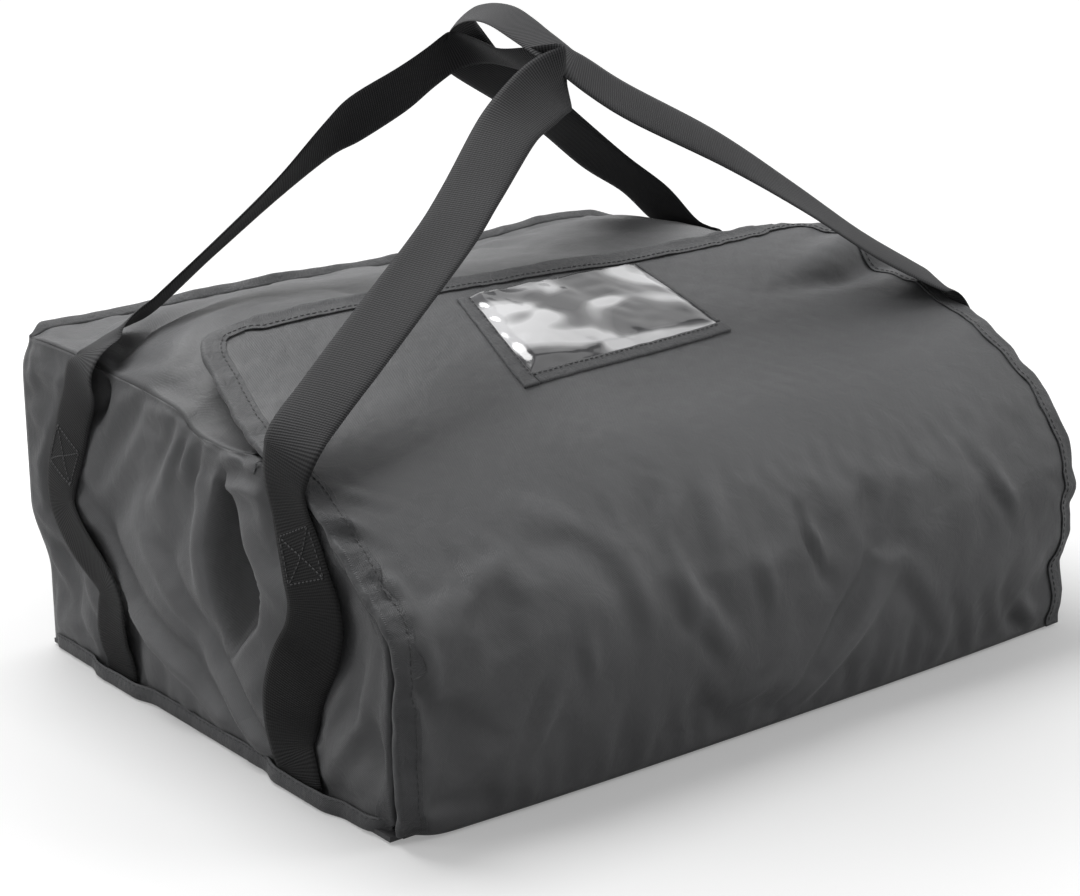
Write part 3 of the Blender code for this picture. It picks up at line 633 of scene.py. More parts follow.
def buildFront(cut):
    grid, along = frontGrid(cut)
    s = np.repeat(along[:, None], grid.shape[1], axis=1)
    x = grid[..., 0].copy()
    normals = gridNormals(grid)
    first, last, left, right = sideGaps(grid)
    sides = np.minimum(left, right)
    # broad and small unevenness, more on the wall than on the slope
    lower = ease((0.16 - s) / 0.08)
    out = cut["foldGain"] * foldField(x, s, cut["folds"])
    out += (0.0010 + 0.0018 * lower) * rolling(x, s, 0.075, 3) + (0.0001 + 0.0010 * lower) * rolling(x, s * 0.7, 0.028, 5)
    for (cx, below), (wx, ws), depth in cut["dents"]:
        out += depth * np.exp(-(((x - cx) / wx) ** 2) - ((along[-1] - s - below) / ws) ** 2)
    # gathers that run in from the sewn sides
    gather = np.exp(-sides / 0.016)
    out += 0.0016 * gather * rolling(sides * 0.25, s, 0.013, 7) + 0.0022 * np.exp(-right / 0.02) * rolling(right * 0.2, s, 0.019, 11)
    out += 0.0007 * np.exp(-last / 0.014) * rolling(x, last * 0.3, 0.016, 13)
    # the seams pull the cloth down
    out -= 0.0022 * np.exp(-((sides / 0.011) ** 2)) - 0.0012 * np.exp(-((last / 0.007) ** 2))
    out *= ease(0.15 + first / 0.02)
    outer = cornerSag(grid + normals * out[..., None])
    hold = 0.05 + 0.95 * np.exp(-np.minimum(np.minimum(sides, first), last) / 0.006) + 0.75 * ease((s - 0.135) / 0.05)
    outer = settleCloth("frontCut", outer, np.minimum(hold, 1), 0.034, 0.0042, 14)
    normals = gridNormals(outer)
    rim = np.minimum(sides, last)
    thick = cut["wall"] * (0.42 + 0.58 * ease(rim / 0.014)) * (1 - 0.3 * ease((outer[..., 1] + 0.075) / 0.02))
    inner = outer - normals * thick[..., None]
    inner[..., 1] = np.maximum(inner[..., 1], cut["innerFace"])
    (py, pz), (ny, nz) = cut["slopePlane"]
    over = np.maximum((inner[..., 1] - py) * ny + (inner[..., 2] - pz) * nz + 0.001, 0) * ease((-0.120 - inner[..., 1]) / 0.03)
    inner[..., 1] -= over * ny
    inner[..., 2] -= over * nz
    cut2 = np.dstack([x, s])
    piece = closedPad("frontFlapCover", outer, inner, cut2, ease(out / 0.004), flip=False)
    lining = thinSheet("frontFlapLining", inner, normals, 0.0002, 0.0005, cut2, 2, 2)
    return piece, lining, outer, inner, normals, along


front, frontLining, frontOuter, frontInner, frontNormals, frontAlong = buildFront(frontWall)
dress(front, coverCloth)
dress(frontLining, foil)


print("bag: sides, top, back and base")
strap = {
    "width": 0.040, "thick": 0.0019, "step": 0.0032, "clear": 0.0007,
    # the heights up to which the front and the rear end of each strap lie on the side
    "leftTops": (0.182, 0.192), "rightTops": (0.195, 0.206),
}
leftRun = [
    # centre, way across from one edge to the other, share of the full width
    ((-0.2772, -0.1085, 0.0040), (0.00, -1.00, -0.06), 1.0),
    ((-0.2772, -0.1067, 0.0093), (0.03, -1.00, -0.03), 1.0),
    ((-0.2770, -0.1048, 0.0180), (0.01, -0.99, 0.13), 1.0),
    ((-0.2765, -0.0989, 0.0267), (0.13, -0.98, 0.15), 1.0),
    ((-0.2770, -0.0970, 0.0425), (0.31, -0.94, 0.16), 1.0),
    ((-0.2780, -0.1020, 0.0585), (0.31, -0.94, 0.17), 1.0),
    ((-0.2780, -0.1105, 0.0751), (0.32, -0.93, 0.18), 1.0),
    ((-0.2775, -0.1206, 0.0921), (0.31, -0.93, 0.17), 1.0),
    ((-0.2765, -0.1239, 0.1073), (0.30, -0.94, 0.14), 1.0),
    ((-0.2760, -0.1227, 0.1196), (0.21, -0.97, 0.11), 1.0),
    ((-0.2755, -0.1195, 0.1295), (0.14, -0.99, 0.09), 1.0),
    ((-0.2750, -0.1154, 0.1398), (0.10, -0.99, 0.04), 1.0),
    ((-0.2750, -0.1110, 0.1495), (0.07, -1.00, 0.01), 1.0),
    ((-0.2755, -0.1063, 0.1590), (0.04, -1.00, 0.03), 1.0),
    ((-0.2770, -0.1032, 0.1682), (0.01, -1.00, 0.00), 1.0),
    ((-0.2785, -0.1002, 0.1797), (-0.01, -1.00, 0.08), 1.0),
    ((-0.2790, -0.1021, 0.1906), (0.09, -0.99, 0.07), 1.0),
    ((-0.2765, -0.1040, 0.2000), (0.26, -0.96, -0.02), 1.0),
    ((-0.2660, -0.1000, 0.2110), (0.33, -0.93, -0.12), 1.0),
    ((-0.2450, -0.0930, 0.2250), (0.38, -0.92, -0.10), 1.0),
    ((-0.2131, -0.0818, 0.2447), (0.40, -0.91, -0.13), 1.0),
    ((-0.1412, -0.0568, 0.2895), (0.43, -0.89, -0.13), 1.0),
    ((-0.1060, -0.0415, 0.3145), (0.44, -0.89, -0.12), 1.0),
    ((-0.0626, -0.0214, 0.3470), (0.50, -0.82, -0.28), 1.0),
    ((-0.0400, -0.0150, 0.3600), (0.50, -0.66, -0.56), 1.0),
    ((-0.0200, -0.0085, 0.3690), (0.36, -0.46, -0.80), 1.0),
    ((-0.0010, -0.0040, 0.3745), (-0.02, -0.08, -1.00), 1.0),
    ((0.0030, 0.0040, 0.3770), (0.22, -0.02, -0.97), 0.95),
    ((0.0000, 0.0200, 0.3790), (0.70, 0.06, -0.70), 0.95),
    ((-0.0003, 0.0451, 0.3800), (0.86, 0.08, -0.50), 1.0),
    ((0.0004, 0.0720, 0.3845), (0.84, 0.05, -0.54), 1.0),
    ((0.0000, 0.0950, 0.3870), (0.78, 0.05, -0.62), 0.9),
    ((-0.0060, 0.1085, 0.3840), (0.62, 0.32, -0.72), 0.85),
    ((-0.0220, 0.1105, 0.3740), (0.50, 0.46, -0.73), 0.95),
    ((-0.0450, 0.1119, 0.3600), (0.48, 0.43, -0.77), 1.0),
    ((-0.0786, 0.1165, 0.3430), (0.48, 0.40, -0.78), 1.0),
    ((-0.0990, 0.1187, 0.3310), (0.49, 0.58, -0.65), 1.0),
    ((-0.1398, 0.1211, 0.3014), (0.42, 0.76, -0.50), 1.0),
    ((-0.1852, 0.1239, 0.2685), (0.38, 0.81, -0.45), 1.0),
    ((-0.2289, 0.1265, 0.2366), (0.37, 0.82, -0.44), 1.0),
    ((-0.2600, 0.1255, 0.2205), (0.32, 0.92, -0.22), 0.98),
    ((-0.2755, 0.1205, 0.2155), (0.22, 0.97, -0.08), 0.96),
    ((-0.2830, 0.1210, 0.2060), (0.12, 0.98, -0.10), 0.98),
    ((-0.2825, 0.1255, 0.1945), (0.06, 0.99, -0.12), 1.0),
    ((-0.2810, 0.1306, 0.1813), (0.04, 0.99, -0.11), 1.0),
    ((-0.2810, 0.1370, 0.1668), (0.00, 1.00, -0.09), 1.0),
    ((-0.2810, 0.1435, 0.1528), (0.01, 0.99, -0.12), 1.0),
    ((-0.2810, 0.1514, 0.1382), (0.02, 0.99, -0.14), 1.0),
    ((-0.2810, 0.1566, 0.1245), (0.03, 0.98, -0.18), 1.0),
    ((-0.2810, 0.1575, 0.1119), (0.04, 0.97, -0.24), 1.0),
    ((-0.2810, 0.1512, 0.1017), (0.08, 0.95, -0.30), 1.0),
    ((-0.2810, 0.1409, 0.0915), (0.12, 0.93, -0.34), 1.0),
    ((-0.2810, 0.1266, 0.0815), (0.16, 0.90, -0.40), 1.0),
    ((-0.2805, 0.1127, 0.0724), (0.17, 0.90, -0.41), 1.0),
    ((-0.2795, 0.1054, 0.0616), (0.13, 0.94, -0.32), 1.0),
    ((-0.2785, 0.1046, 0.0442), (0.06, 0.96, -0.26), 1.0),
    ((-0.2775, 0.1049, 0.0288), (0.00, 0.97, -0.23), 1.0),
    ((-0.2770, 0.1030, 0.0188), (0.02, 0.98, -0.20), 1.0),
    ((-0.2770, 0.1030, 0.0100), (0.00, 0.99, -0.14), 1.0),
    ((-0.2772, 0.1032, 0.0040), (0.00, 1.00, -0.08), 1.0),
]
rightRun = [
    ((0.2770, -0.0960, 0.0060), (0.00, 1.00, 0.00), 1.0),
    ((0.2775, -0.0960, 0.0300), (0.00, 1.00, 0.00), 1.0),
    ((0.2795, -0.0970, 0.0700), (-0.05, 1.00, 0.00), 1.0),
    ((0.2790, -0.0980, 0.1100), (-0.05, 1.00, 0.00), 1.0),
    ((0.2790, -0.0960, 0.1500), (0.00, 1.00, 0.00), 1.0),
    ((0.2820, -0.0905, 0.1850), (0.06, 0.99, 0.05), 1.0),
    ((0.2825, -0.0860, 0.2040), (0.14, 0.97, 0.16), 1.0),
    ((0.2780, -0.0805, 0.2195), (0.32, 0.91, 0.24), 1.0),
    ((0.2640, -0.0765, 0.2275), (0.42, 0.87, 0.27), 1.0),
    ((0.2201, -0.0625, 0.2522), (0.46, 0.83, 0.33), 1.0),
    ((0.1664, -0.0467, 0.2873), (0.48, 0.79, 0.38), 1.0),
    ((0.1070, -0.0290, 0.3248), (0.49, 0.72, 0.49), 1.0),
    ((0.0444, -0.0110, 0.3570), (0.50, 0.69, 0.53), 1.0),
    ((0.0200, -0.0020, 0.3730), (0.62, 0.62, 0.47), 0.95),
    ((0.0050, 0.0080, 0.3860), (0.85, 0.45, 0.25), 0.85),
    ((-0.0010, 0.0310, 0.3980), (1.00, 0.00, -0.02), 0.95),
    ((-0.0020, 0.0520, 0.4062), (1.00, -0.04, 0.02), 1.0),
    ((-0.0020, 0.0720, 0.4098), (0.98, -0.02, 0.20), 1.0),
    ((-0.0020, 0.0930, 0.4076), (0.92, 0.10, 0.40), 0.95),
    ((-0.0010, 0.1075, 0.4010), (0.80, 0.20, 0.56), 0.85),
    ((0.0040, 0.1120, 0.3880), (0.62, -0.30, 0.70), 0.85),
    ((0.0180, 0.1150, 0.3740), (0.40, -0.75, 0.45), 0.95),
    ((0.0394, 0.1177, 0.3612), (0.33, -0.85, 0.38), 1.0),
    ((0.0650, 0.1214, 0.3475), (0.36, -0.86, 0.34), 1.0),
    ((0.1076, 0.1300, 0.3225), (0.34, -0.91, 0.24), 1.0),
    ((0.1565, 0.1399, 0.2921), (0.33, -0.91, 0.26), 1.0),
    ((0.2025, 0.1480, 0.2664), (0.32, -0.93, 0.17), 1.0),
    ((0.2418, 0.1584, 0.2380), (0.30, -0.94, 0.10), 1.0),
    ((0.2610, 0.1605, 0.2305), (0.24, -0.96, 0.04), 1.0),
    ((0.2755, 0.1600, 0.2255), (0.14, -0.99, 0.02), 1.0),
    ((0.2815, 0.1570, 0.2130), (0.05, -1.00, 0.00), 1.0),
    ((0.2815, 0.1520, 0.1950), (0.02, -1.00, 0.00), 1.0),
    ((0.2800, 0.1420, 0.1600), (0.00, -1.00, 0.00), 1.0),
    ((0.2800, 0.1360, 0.1300), (0.00, -1.00, 0.00), 1.0),
    ((0.2815, 0.1350, 0.0900), (0.00, -1.00, 0.00), 1.0),
    ((0.2795, 0.1340, 0.0500), (0.00, -1.00, 0.00), 1.0),
    ((0.2770, 0.1340, 0.0060), (0.00, -1.00, 0.00), 1.0),
]

# a strap's middle line, the way across it, its outward side and its share of the full width, at even steps
def strapLine(stations, cut):
    centres = np.array([s[0] for s in stations])
    ways = np.array([s[1] for s in stations], float)
    shares = np.array([[s[2]] for s in stations])
    whole = softCurve(np.hstack([centres, ways * 0.02, shares * 0.02]), 2000)
    steps = np.r_[0, np.cumsum(np.linalg.norm(np.diff(whole[:, :3], axis=0), axis=1))]
    count = int(steps[-1] / cut["step"]) + 1
    at = np.linspace(0, steps[-1], count)
    picked = np.stack([np.interp(at, steps, whole[:, k]) for k in range(7)], axis=1)
    for _ in range(2):
        picked[1:-1] = (picked[:-2] + 2 * picked[1:-1] + picked[2:]) / 4
    centre, way, share = picked[:, :3], picked[:, 3:6], picked[:, 6] / 0.02
    tangent = np.gradient(centre, axis=0)
    tangent /= np.linalg.norm(tangent, axis=1, keepdims=True)
    way -= np.sum(way * tangent, axis=1, keepdims=True) * tangent
    way /= np.linalg.norm(way, axis=1, keepdims=True)
    return at, centre, way, np.cross(way, tangent), share


# the straps lie in the side covers: the cloth under a strap is pressed in as far as the strap asks
def pressIn(grid, sign, stations, cut):
    _, centre, way, _, share = strapLine(stations, cut)
    for half, top in zip((slice(0, len(centre) // 2), slice(len(centre) // 2, None)), cut["leftTops"] if sign < 0 else cut["rightTops"]):
        low = centre[half][:, 2] < top
        c, w, s = centre[half][low], way[half][low], share[half][low]
        dy, dz = grid[..., 1, None] - c[:, 1], grid[..., 2, None] - c[:, 2]
        near = np.argmin(dy**2 + dz**2, axis=2)
        c, w, s = c[near], w[near], s[near] * cut["width"] / 2
        across = ((grid[..., 1] - c[..., 1]) * w[..., 1] + (grid[..., 2] - c[..., 2]) * w[..., 2]) / np.maximum(w[..., 1] ** 2 + w[..., 2] ** 2, 0.2)
        limit = c[..., 0] + w[..., 0] * np.clip(across, -s - 0.003, s + 0.003) - sign * (cut["thick"] / 2 + 0.0012)
        beyond = np.hypot(np.maximum(np.abs(across) - s - 0.002, 0), np.maximum(grid[..., 2] - top - 0.002, 0))
        over = np.maximum(sign * (grid[..., 0] - limit), 0)
        grid[..., 0] -= sign * over * ease(1 - beyond / 0.009)
    return grid


leftSide = {
    "seam": -0.2748, "wall": 0.0078, "columns": 140, "rows": 84,
    "frontEdge": [(-0.1885, 0.004), (-0.1885, 0.060), (-0.189, 0.110), (-0.172, 0.131),
                  (-0.147, 0.151), (-0.1165, 0.172), (-0.089, 0.184), (-0.072, 0.1885)],
    "topEdge": [(-0.072, 0.1885), (-0.048, 0.1870), (-0.028, 0.1855), (-0.010, 0.1862), (0.006, 0.1905), (0.020, 0.1975), (0.057, 0.2020),
                (0.096, 0.2045), (0.130, 0.2075), (0.170, 0.2115), (0.1985, 0.2140)],
    "puff": 0.0030,
    "dents": [((-0.142, 0.100), (0.036, 0.070), -0.0115), ((0.05, 0.11), (0.05, 0.05), 0.0030), ((-0.176, 0.046), (0.014, 0.020), -0.0065),
              ((0.112, 0.190), (0.009, 0.013), -0.0130), ((0.17, 0.07), (0.03, 0.04), -0.0020)],
    # the place pushed in under the seam: height, its far side, its near side, its depth
    "recess": [(0.0600, -0.0380, -0.0415, 0.000), (0.0724, -0.0310, -0.0521, 0.011), (0.0886, -0.0235, -0.0703, 0.024), (0.1105, -0.0178, -0.0738, 0.029),
               (0.1262, -0.0158, -0.0685, 0.028), (0.1438, -0.0185, -0.0538, 0.020), (0.1560, -0.0220, -0.0435, 0.013), (0.1640, -0.0249, -0.0376, 0.008),
               (0.1738, -0.0300, -0.0333, 0.0)],
    "folds": [
        ([(-0.026, 0.163), (-0.052, 0.166), (-0.079, 0.167)], (0.005, 0.005), 0.0034, 0.8),
        ([(-0.010, 0.160), (-0.006, 0.120), (-0.014, 0.085)], (0.006, 0.008), 0.0044, 0.0),
        ([(-0.046, 0.158), (-0.066, 0.132), (-0.088, 0.108)], (0.006, 0.008), 0.0050, 0.0),
        ([(0.135, 0.107), (0.079, 0.060), (0.013, 0.033), (-0.015, 0.017)], (0.010, 0.007), 0.0058, 0.7),
        ([(-0.003, 0.058), (-0.037, 0.035), (-0.069, 0.010)], (0.007, 0.006), 0.0052, 0.8),
        ([(0.060, 0.120), (0.020, 0.080), (-0.010, 0.060)], (0.009, 0.007), 0.0036, 0.6),
        ([(-0.004, 0.150), (-0.009, 0.172)], (0.004, 0.003), 0.0024, 0.9),
        ([(0.012, 0.160), (0.003, 0.182)], (0.004, 0.003), 0.0024, 0.9),
        ([(0.034, 0.146), (0.016, 0.184)], (0.007, 0.004), 0.0022, 0.7),
        ([(0.080, 0.150), (0.055, 0.190)], (0.010, 0.006), 0.0020, 0.5),
        ([(0.191, 0.070), (0.176, 0.052)], (0.006, 0.005), 0.0030, 0.8),
        ([(0.150, 0.034), (0.110, 0.012)], (0.008, 0.006), 0.0030, 0.6),
        ([(-0.130, 0.020), (-0.160, 0.060), (-0.168, 0.100)], (0.009, 0.007), 0.0038, 0.6),
        ([(-0.100, 0.060), (-0.122, 0.090), (-0.128, 0.130)], (0.008, 0.007), 0.0026, 0.6),
    ],
    "seed": 21,
}
rightSide = {
    "seam": 0.2748, "wall": 0.0078, "columns": 140, "rows": 84,
    "frontEdge": [(-0.1885, 0.004), (-0.190, 0.060), (-0.1905, 0.112), (-0.181, 0.142),
                  (-0.160, 0.163), (-0.130, 0.182), (-0.096, 0.200), (-0.072, 0.2095)],
    "topEdge": [(-0.072, 0.2095), (-0.030, 0.2235), (0.000, 0.2310), (0.035, 0.2330), (0.080, 0.2315), (0.140, 0.2240), (0.1985, 0.2140)],
    "puff": 0.0055,
    "dents": [((-0.05, 0.10), (0.07, 0.05), -0.0040), ((0.08, 0.09), (0.06, 0.05), 0.0040), ((-0.165, 0.07), (0.02, 0.03), -0.003)],
    "folds": [
        ([(-0.020, 0.185), (-0.035, 0.120), (-0.050, 0.070)], (0.006, 0.014), -0.0060, 0.0),
        ([(-0.010, 0.190), (0.010, 0.120), (0.012, 0.075)], (0.006, 0.010), 0.0030, 0.4),
        ([(-0.060, 0.060), (-0.110, 0.030)], (0.009, 0.008), 0.0026, 0.6),
        ([(0.060, 0.130), (0.040, 0.180)], (0.008, 0.006), 0.0018, 0.5),
        ([(0.185, 0.080), (0.170, 0.050)], (0.006, 0.005), 0.0022, 0.8),
        ([(-0.140, 0.120), (-0.160, 0.060)], (0.008, 0.007), 0.0024, 0.6),
    ],
    "seed": 41,
}
base = {"low": 0.0040, "front": -0.1885, "back": 0.1985}


# a patch between four edges, given as functions of nothing but their even points
def patch(bottom, top, first, last):
    rows, columns = len(first), len(bottom)
    u, v = np.linspace(0, 1, columns)[None, :, None], np.linspace(0, 1, rows)[:, None, None]
    flat = (1 - v) * bottom[None] + v * top[None] + (1 - u) * first[:, None] + u * last[:, None]
    flat -= (1 - u) * (1 - v) * bottom[0] + u * (1 - v) * bottom[-1] + (1 - u) * v * top[0] + u * v * top[-1]
    return flat


def mitred(outer, normals, wall, mitres, outward):
    first, last, left, right = sideGaps(outer)
    down, across = np.gradient(outer, axis=0), np.gradient(outer, axis=1)
    down /= np.maximum(np.linalg.norm(down, axis=2, keepdims=True), 1e-12)
    across /= np.maximum(np.linalg.norm(across, axis=2, keepdims=True), 1e-12)
    lean = 0.2 * normals + 0.8 * np.array(outward)
    inner = outer - lean / np.linalg.norm(lean, axis=2, keepdims=True) * wall
    for gap, direction, amount in zip((first, last, left, right), (down, -down, across, -across), mitres):
        inner += direction * (amount * np.exp(-gap / 0.012))[..., None]
    return inner


def buildSide(cut, name, liningName):
    sign = math.copysign(1, cut["seam"])
    bottom = evenly([(base["front"], base["low"]), (base["back"], base["low"])], cut["columns"])
    top = softCurve(cut["topEdge"], cut["columns"])
    first = softCurve(cut["frontEdge"], cut["rows"])
    last = evenly([(base["back"], base["low"]), cut["topEdge"][-1]], cut["rows"])
    yz = patch(bottom, top, first, last)
    y, z = yz[..., 0], yz[..., 1]
    grid = np.dstack([np.full(y.shape, cut["seam"]), y, z])
    gaps = sideGaps(grid)
    rim = np.minimum.reduce(gaps)
    out = cut["puff"] * (1 - np.exp(-rim / 0.016))
    for (cy, cz), (wy, wz), depth in cut["dents"]:
        out += depth * np.exp(-(((y - cy) / wy) ** 2) - ((z - cz) / wz) ** 2)
    out += foldField(y, z, cut["folds"])
    hollow = np.zeros_like(y)
    if "recess" in cut:
        heights, far, near, deep = np.array(cut["recess"]).T
        far, near, deep = (np.interp(z, heights, line) for line in (far, near, deep))
        share = (y - near) / (far - near)
        hollow = deep * np.clip(np.minimum(share / 0.62, (1 - share) / 0.38), 0, 1) ** 0.9
        out -= hollow
    out += 0.0016 * rolling(y, z, 0.06, cut["seed"]) + 0.0006 * rolling(y, z, 0.022, cut["seed"] + 1)
    # gathers under the top seam and beside the front edge
    out += 0.0014 * np.exp(-gaps[1] / 0.02) * rolling(y, gaps[1] * 0.25, 0.014, cut["seed"] + 2)
    out += 0.0012 * np.exp(-gaps[2] / 0.016) * rolling(z, gaps[2] * 0.25, 0.016, cut["seed"] + 3)
    out *= ease(rim / 0.012)
    grid[..., 0] += sign * out
    # the top seam itself wavers where the cloth is gathered
    grid[..., 2] += 0.0016 * np.exp(-gaps[1] / 0.01) * rolling(y, y * 0, 0.022, cut["seed"] + 4) * ease((0.06 - y) / 0.05)
    grid = pressIn(cornerSag(grid), sign, leftRun if sign < 0 else rightRun, strap)
    grid = settleCloth(name + "Cut", grid, np.minimum(0.05 + np.exp(-rim / 0.006), 1), 0.036, 0.0045, 14)
    normals = gridNormals(grid, sign)
    inner = mitred(grid, normals, cut["wall"], (0.0078, 0.0078, 0.0, 0.0078), (sign, 0, 0))
    flat = np.dstack([y, z])
    # marks: lighter where the cloth stands out (rubbed wear), darker in the recess (painted shade in the hollow)
    piece = closedPad(name, grid, inner, flat, ease(out / 0.006) - 1.8 * ease(hollow / 0.012), flip=sign < 0)
    lining = thinSheet(liningName, inner, normals, 0.0002, 0.0005, flat, 2, 3, flip=sign < 0)
    return piece, lining, grid, inner, normals


leftCover, leftLining, leftOuter, leftInner, leftNormals = buildSide(leftSide, "leftSideCover", "leftSideLining")
rightCover, rightLining, rightOuter, rightInner, rightNormals = buildSide(rightSide, "rightSideCover", "rightSideLining")
topPanel = {
    "columns": 160, "rows": 84, "wall": 0.0078, "mouth": -0.0635,
    "middle": [(-0.0635, 0.1975), (-0.04, 0.2070), (0.0, 0.2230), (0.02, 0.2315),
               (0.035, 0.2360), (0.08, 0.2372), (0.14, 0.2352), (0.1985, 0.2285)],
    "backEdge": [(-0.2748, 0.2145), (-0.230, 0.2155), (-0.172, 0.2195), (-0.08, 0.2235), (0.013, 0.2260), (0.10, 0.2350), (0.154, 0.2405),
                 (0.204, 0.2380), (0.245, 0.2250), (0.2748, 0.2140)],
    "folds": [
        ([(-0.268, 0.106), (-0.2435, 0.126), (-0.2176, 0.136), (-0.175, 0.146)], (0.011, 0.012), -0.0105, 0.0),
        ([(-0.262, 0.060), (-0.225, 0.080), (-0.170, 0.090)], (0.012, 0.012), 0.0036, 0.0),
        ([(-0.268, 0.150), (-0.210, 0.165)], (0.010, 0.010), 0.0014, 0.4),
        ([(0.120, 0.160), (0.205, 0.120)], (0.016, 0.014), 0.0020, 0.5),
    ],
}


def buildTop(cut):
    u = np.linspace(-0.2748, 0.2748, cut["columns"])
    v = np.linspace(cut["mouth"], base["back"], cut["rows"])
    x, y = np.meshgrid(u, v)
    leftLine = softCurve(leftSide["topEdge"], 300)
    rightLine = softCurve(rightSide["topEdge"], 300)
    zLeft, zRight = np.interp(y, leftLine[:, 0], leftLine[:, 1]), np.interp(y, rightLine[:, 0], rightLine[:, 1])
    middle = softCurve(cut["middle"], 300)
    zMiddle = np.interp(y, middle[:, 0], middle[:, 1])
    share = np.abs(x / 0.2748)
    spread = share**6
    z = zMiddle * (1 - spread) + np.where(x < 0, zLeft, zRight) * spread
    backLine = softCurve(cut["backEdge"], 400)
    backSpread = np.interp(u, backLine[:, 0], backLine[:, 1]) - z[-1]
    z += backSpread[None, :] * ease((y - 0.06) / 0.14)
    grid = np.dstack([x, y, z])
    gaps = sideGaps(grid)
    rim = np.minimum.reduce([gaps[1], gaps[2], gaps[3]])
    shown = ease((y - 0.035) / 0.03)
    out = foldField(x, y, cut["folds"]) + (0.0004 + 0.0014 * shown) * rolling(x, y, 0.07, 61) + 0.0005 * shown * rolling(x, y, 0.024, 62)
    out += 0.0012 * shown * np.exp(-rim / 0.016) * rolling(x, y, 0.016, 63)
    out -= (0.0035 * (1 - shown)) * ease((share - 0.75) / 0.2)
    out *= ease(rim / 0.012)
    grid[..., 2] += out
    # the side seams waver together with the side covers
    for gap, seed in ((gaps[2], leftSide["seed"] + 4), (gaps[3], rightSide["seed"] + 4)):
        grid[..., 2] += 0.0016 * np.exp(-gap / 0.01) * rolling(y, y * 0, 0.022, seed) * ease((0.06 - y) / 0.05)
    grid = cornerSag(grid)
    hidden = ease((0.045 - y) / 0.03)
    grid = settleCloth("topCut", grid, np.minimum(0.06 + np.exp(-rim / 0.006) + hidden, 1), 0.034, 0.004, 14)
    normals = gridNormals(grid)
    inner = mitred(grid, normals, cut["wall"], (0.0, 0.0078, 0.0078, 0.0078), (0, 0, 1))
    flat = np.dstack([x, y])
    piece = closedPad("topCover", grid, inner, flat, ease(out / 0.005), flip=False)
    lining = thinSheet("topLining", inner, normals, 0.0002, 0.0005, flat, 2, 3)
    return piece, lining, grid, inner, normals


topCover, topLining, topOuter, topInner, topNormals = buildTop(topPanel)
backPanel = {
    "columns": 160, "rows": 72, "wall": 0.0078, "puff": 0.0050,
    "folds": [
        ([(-0.200, 0.040), (-0.120, 0.110), (-0.100, 0.160)], (0.014, 0.012), 0.0030, 0.5),
        ([(0.210, 0.030), (0.140, 0.090), (0.130, 0.150)], (0.014, 0.012), 0.0032, 0.5),
        ([(-0.030, 0.020), (0.010, 0.080)], (0.014, 0.012), -0.0026, 0.3),
        ([(0.250, 0.180), (0.225, 0.120)], (0.007, 0.008), 0.0026, 0.6),
        ([(-0.250, 0.170), (-0.235, 0.110)], (0.007, 0.008), 0.0026, 0.6),
    ],
}


def buildBack(cut):
    u = np.linspace(-0.2748, 0.2748, cut["columns"])
    backLine = softCurve(topPanel["backEdge"], 400)
    top = np.interp(u, backLine[:, 0], backLine[:, 1])
    v = np.linspace(0, 1, cut["rows"])[:, None]
    z = base["low"] * (1 - v) + top[None, :] * v
    x = np.repeat(u[None, :], cut["rows"], axis=0)
    grid = np.dstack([x, np.full(x.shape, base["back"]), z])
    gaps = sideGaps(grid)
    rim = np.minimum.reduce(gaps)
    out = cut["puff"] * (1 - np.exp(-rim / 0.018)) + foldField(x, z, cut["folds"])
    out += 0.0020 * rolling(x, z, 0.08, 81) + 0.0007 * rolling(x, z, 0.026, 82)
    out += 0.0014 * np.exp(-rim / 0.018) * rolling(x, z, 0.015, 83)
    out = np.minimum(out * ease(rim / 0.012), 0.012)
    grid[..., 1] += out
    grid = cornerSag(grid)
    grid = settleCloth("backCut", grid, np.minimum(0.05 + np.exp(-rim / 0.006), 1), 0.034, 0.0042, 12)
    normals = gridNormals(grid, -1)
    inner = mitred(grid, normals, cut["wall"], (0.0078,) * 4, (0, 1, 0))
    flat = np.dstack([x, z])
    piece = closedPad("backCover", grid, inner, flat, ease(out / 0.008), flip=True)
    lining = thinSheet("backLining", inner, normals, 0.0002, 0.0005, flat, 2, 3, flip=True)
    return piece, lining


backCover, backLining = buildBack(backPanel)


# the base: a flat pad under the board, a lining over it
def buildBase():
    x, y = np.meshgrid(np.linspace(-0.2745, 0.2745, 90), np.linspace(base["front"], base["back"], 64))
    low = np.dstack([x, y, np.full(x.shape, 0.0004)])
    gaps = sideGaps(low)
    rim = np.minimum.reduce(gaps)
    low[..., 2] += 0.0034 * np.exp(-((rim / 0.006) ** 2)) + 0.0003 * rolling(x, y, 0.05, 91) * ease(rim / 0.02)
    low[..., 2] = np.maximum(low[..., 2], 0.0001)
    high = low.copy()
    high[..., 2] = np.where(rim < 0.004, 0.0042, np.maximum(low[..., 2] + 0.0006, 0.0011))
    flat = np.dstack([x, y])
    piece = closedPad("baseCover", low, high, flat, None, flip=True)
    over = np.dstack([x, y, np.full(x.shape, 0.0112)])[4:-4, 4:-4]
    over[..., 2] += 0.0004 * rolling(over[..., 0], over[..., 1], 0.03, 92)
    under = over.copy()
    under[..., 2] -= 0.0006
    lining = closedPad("baseLining", over, under, flat[4:-4, 4:-4], None, flip=False)
    return piece, lining


baseCover, baseLining = buildBase()
for piece in (leftCover, rightCover, topCover, backCover, baseCover):
    dress(piece, coverCloth)
for piece in (leftLining, rightLining, topLining, backLining, baseLining):
    dress(piece, foil)


print("bag: binding tapes")


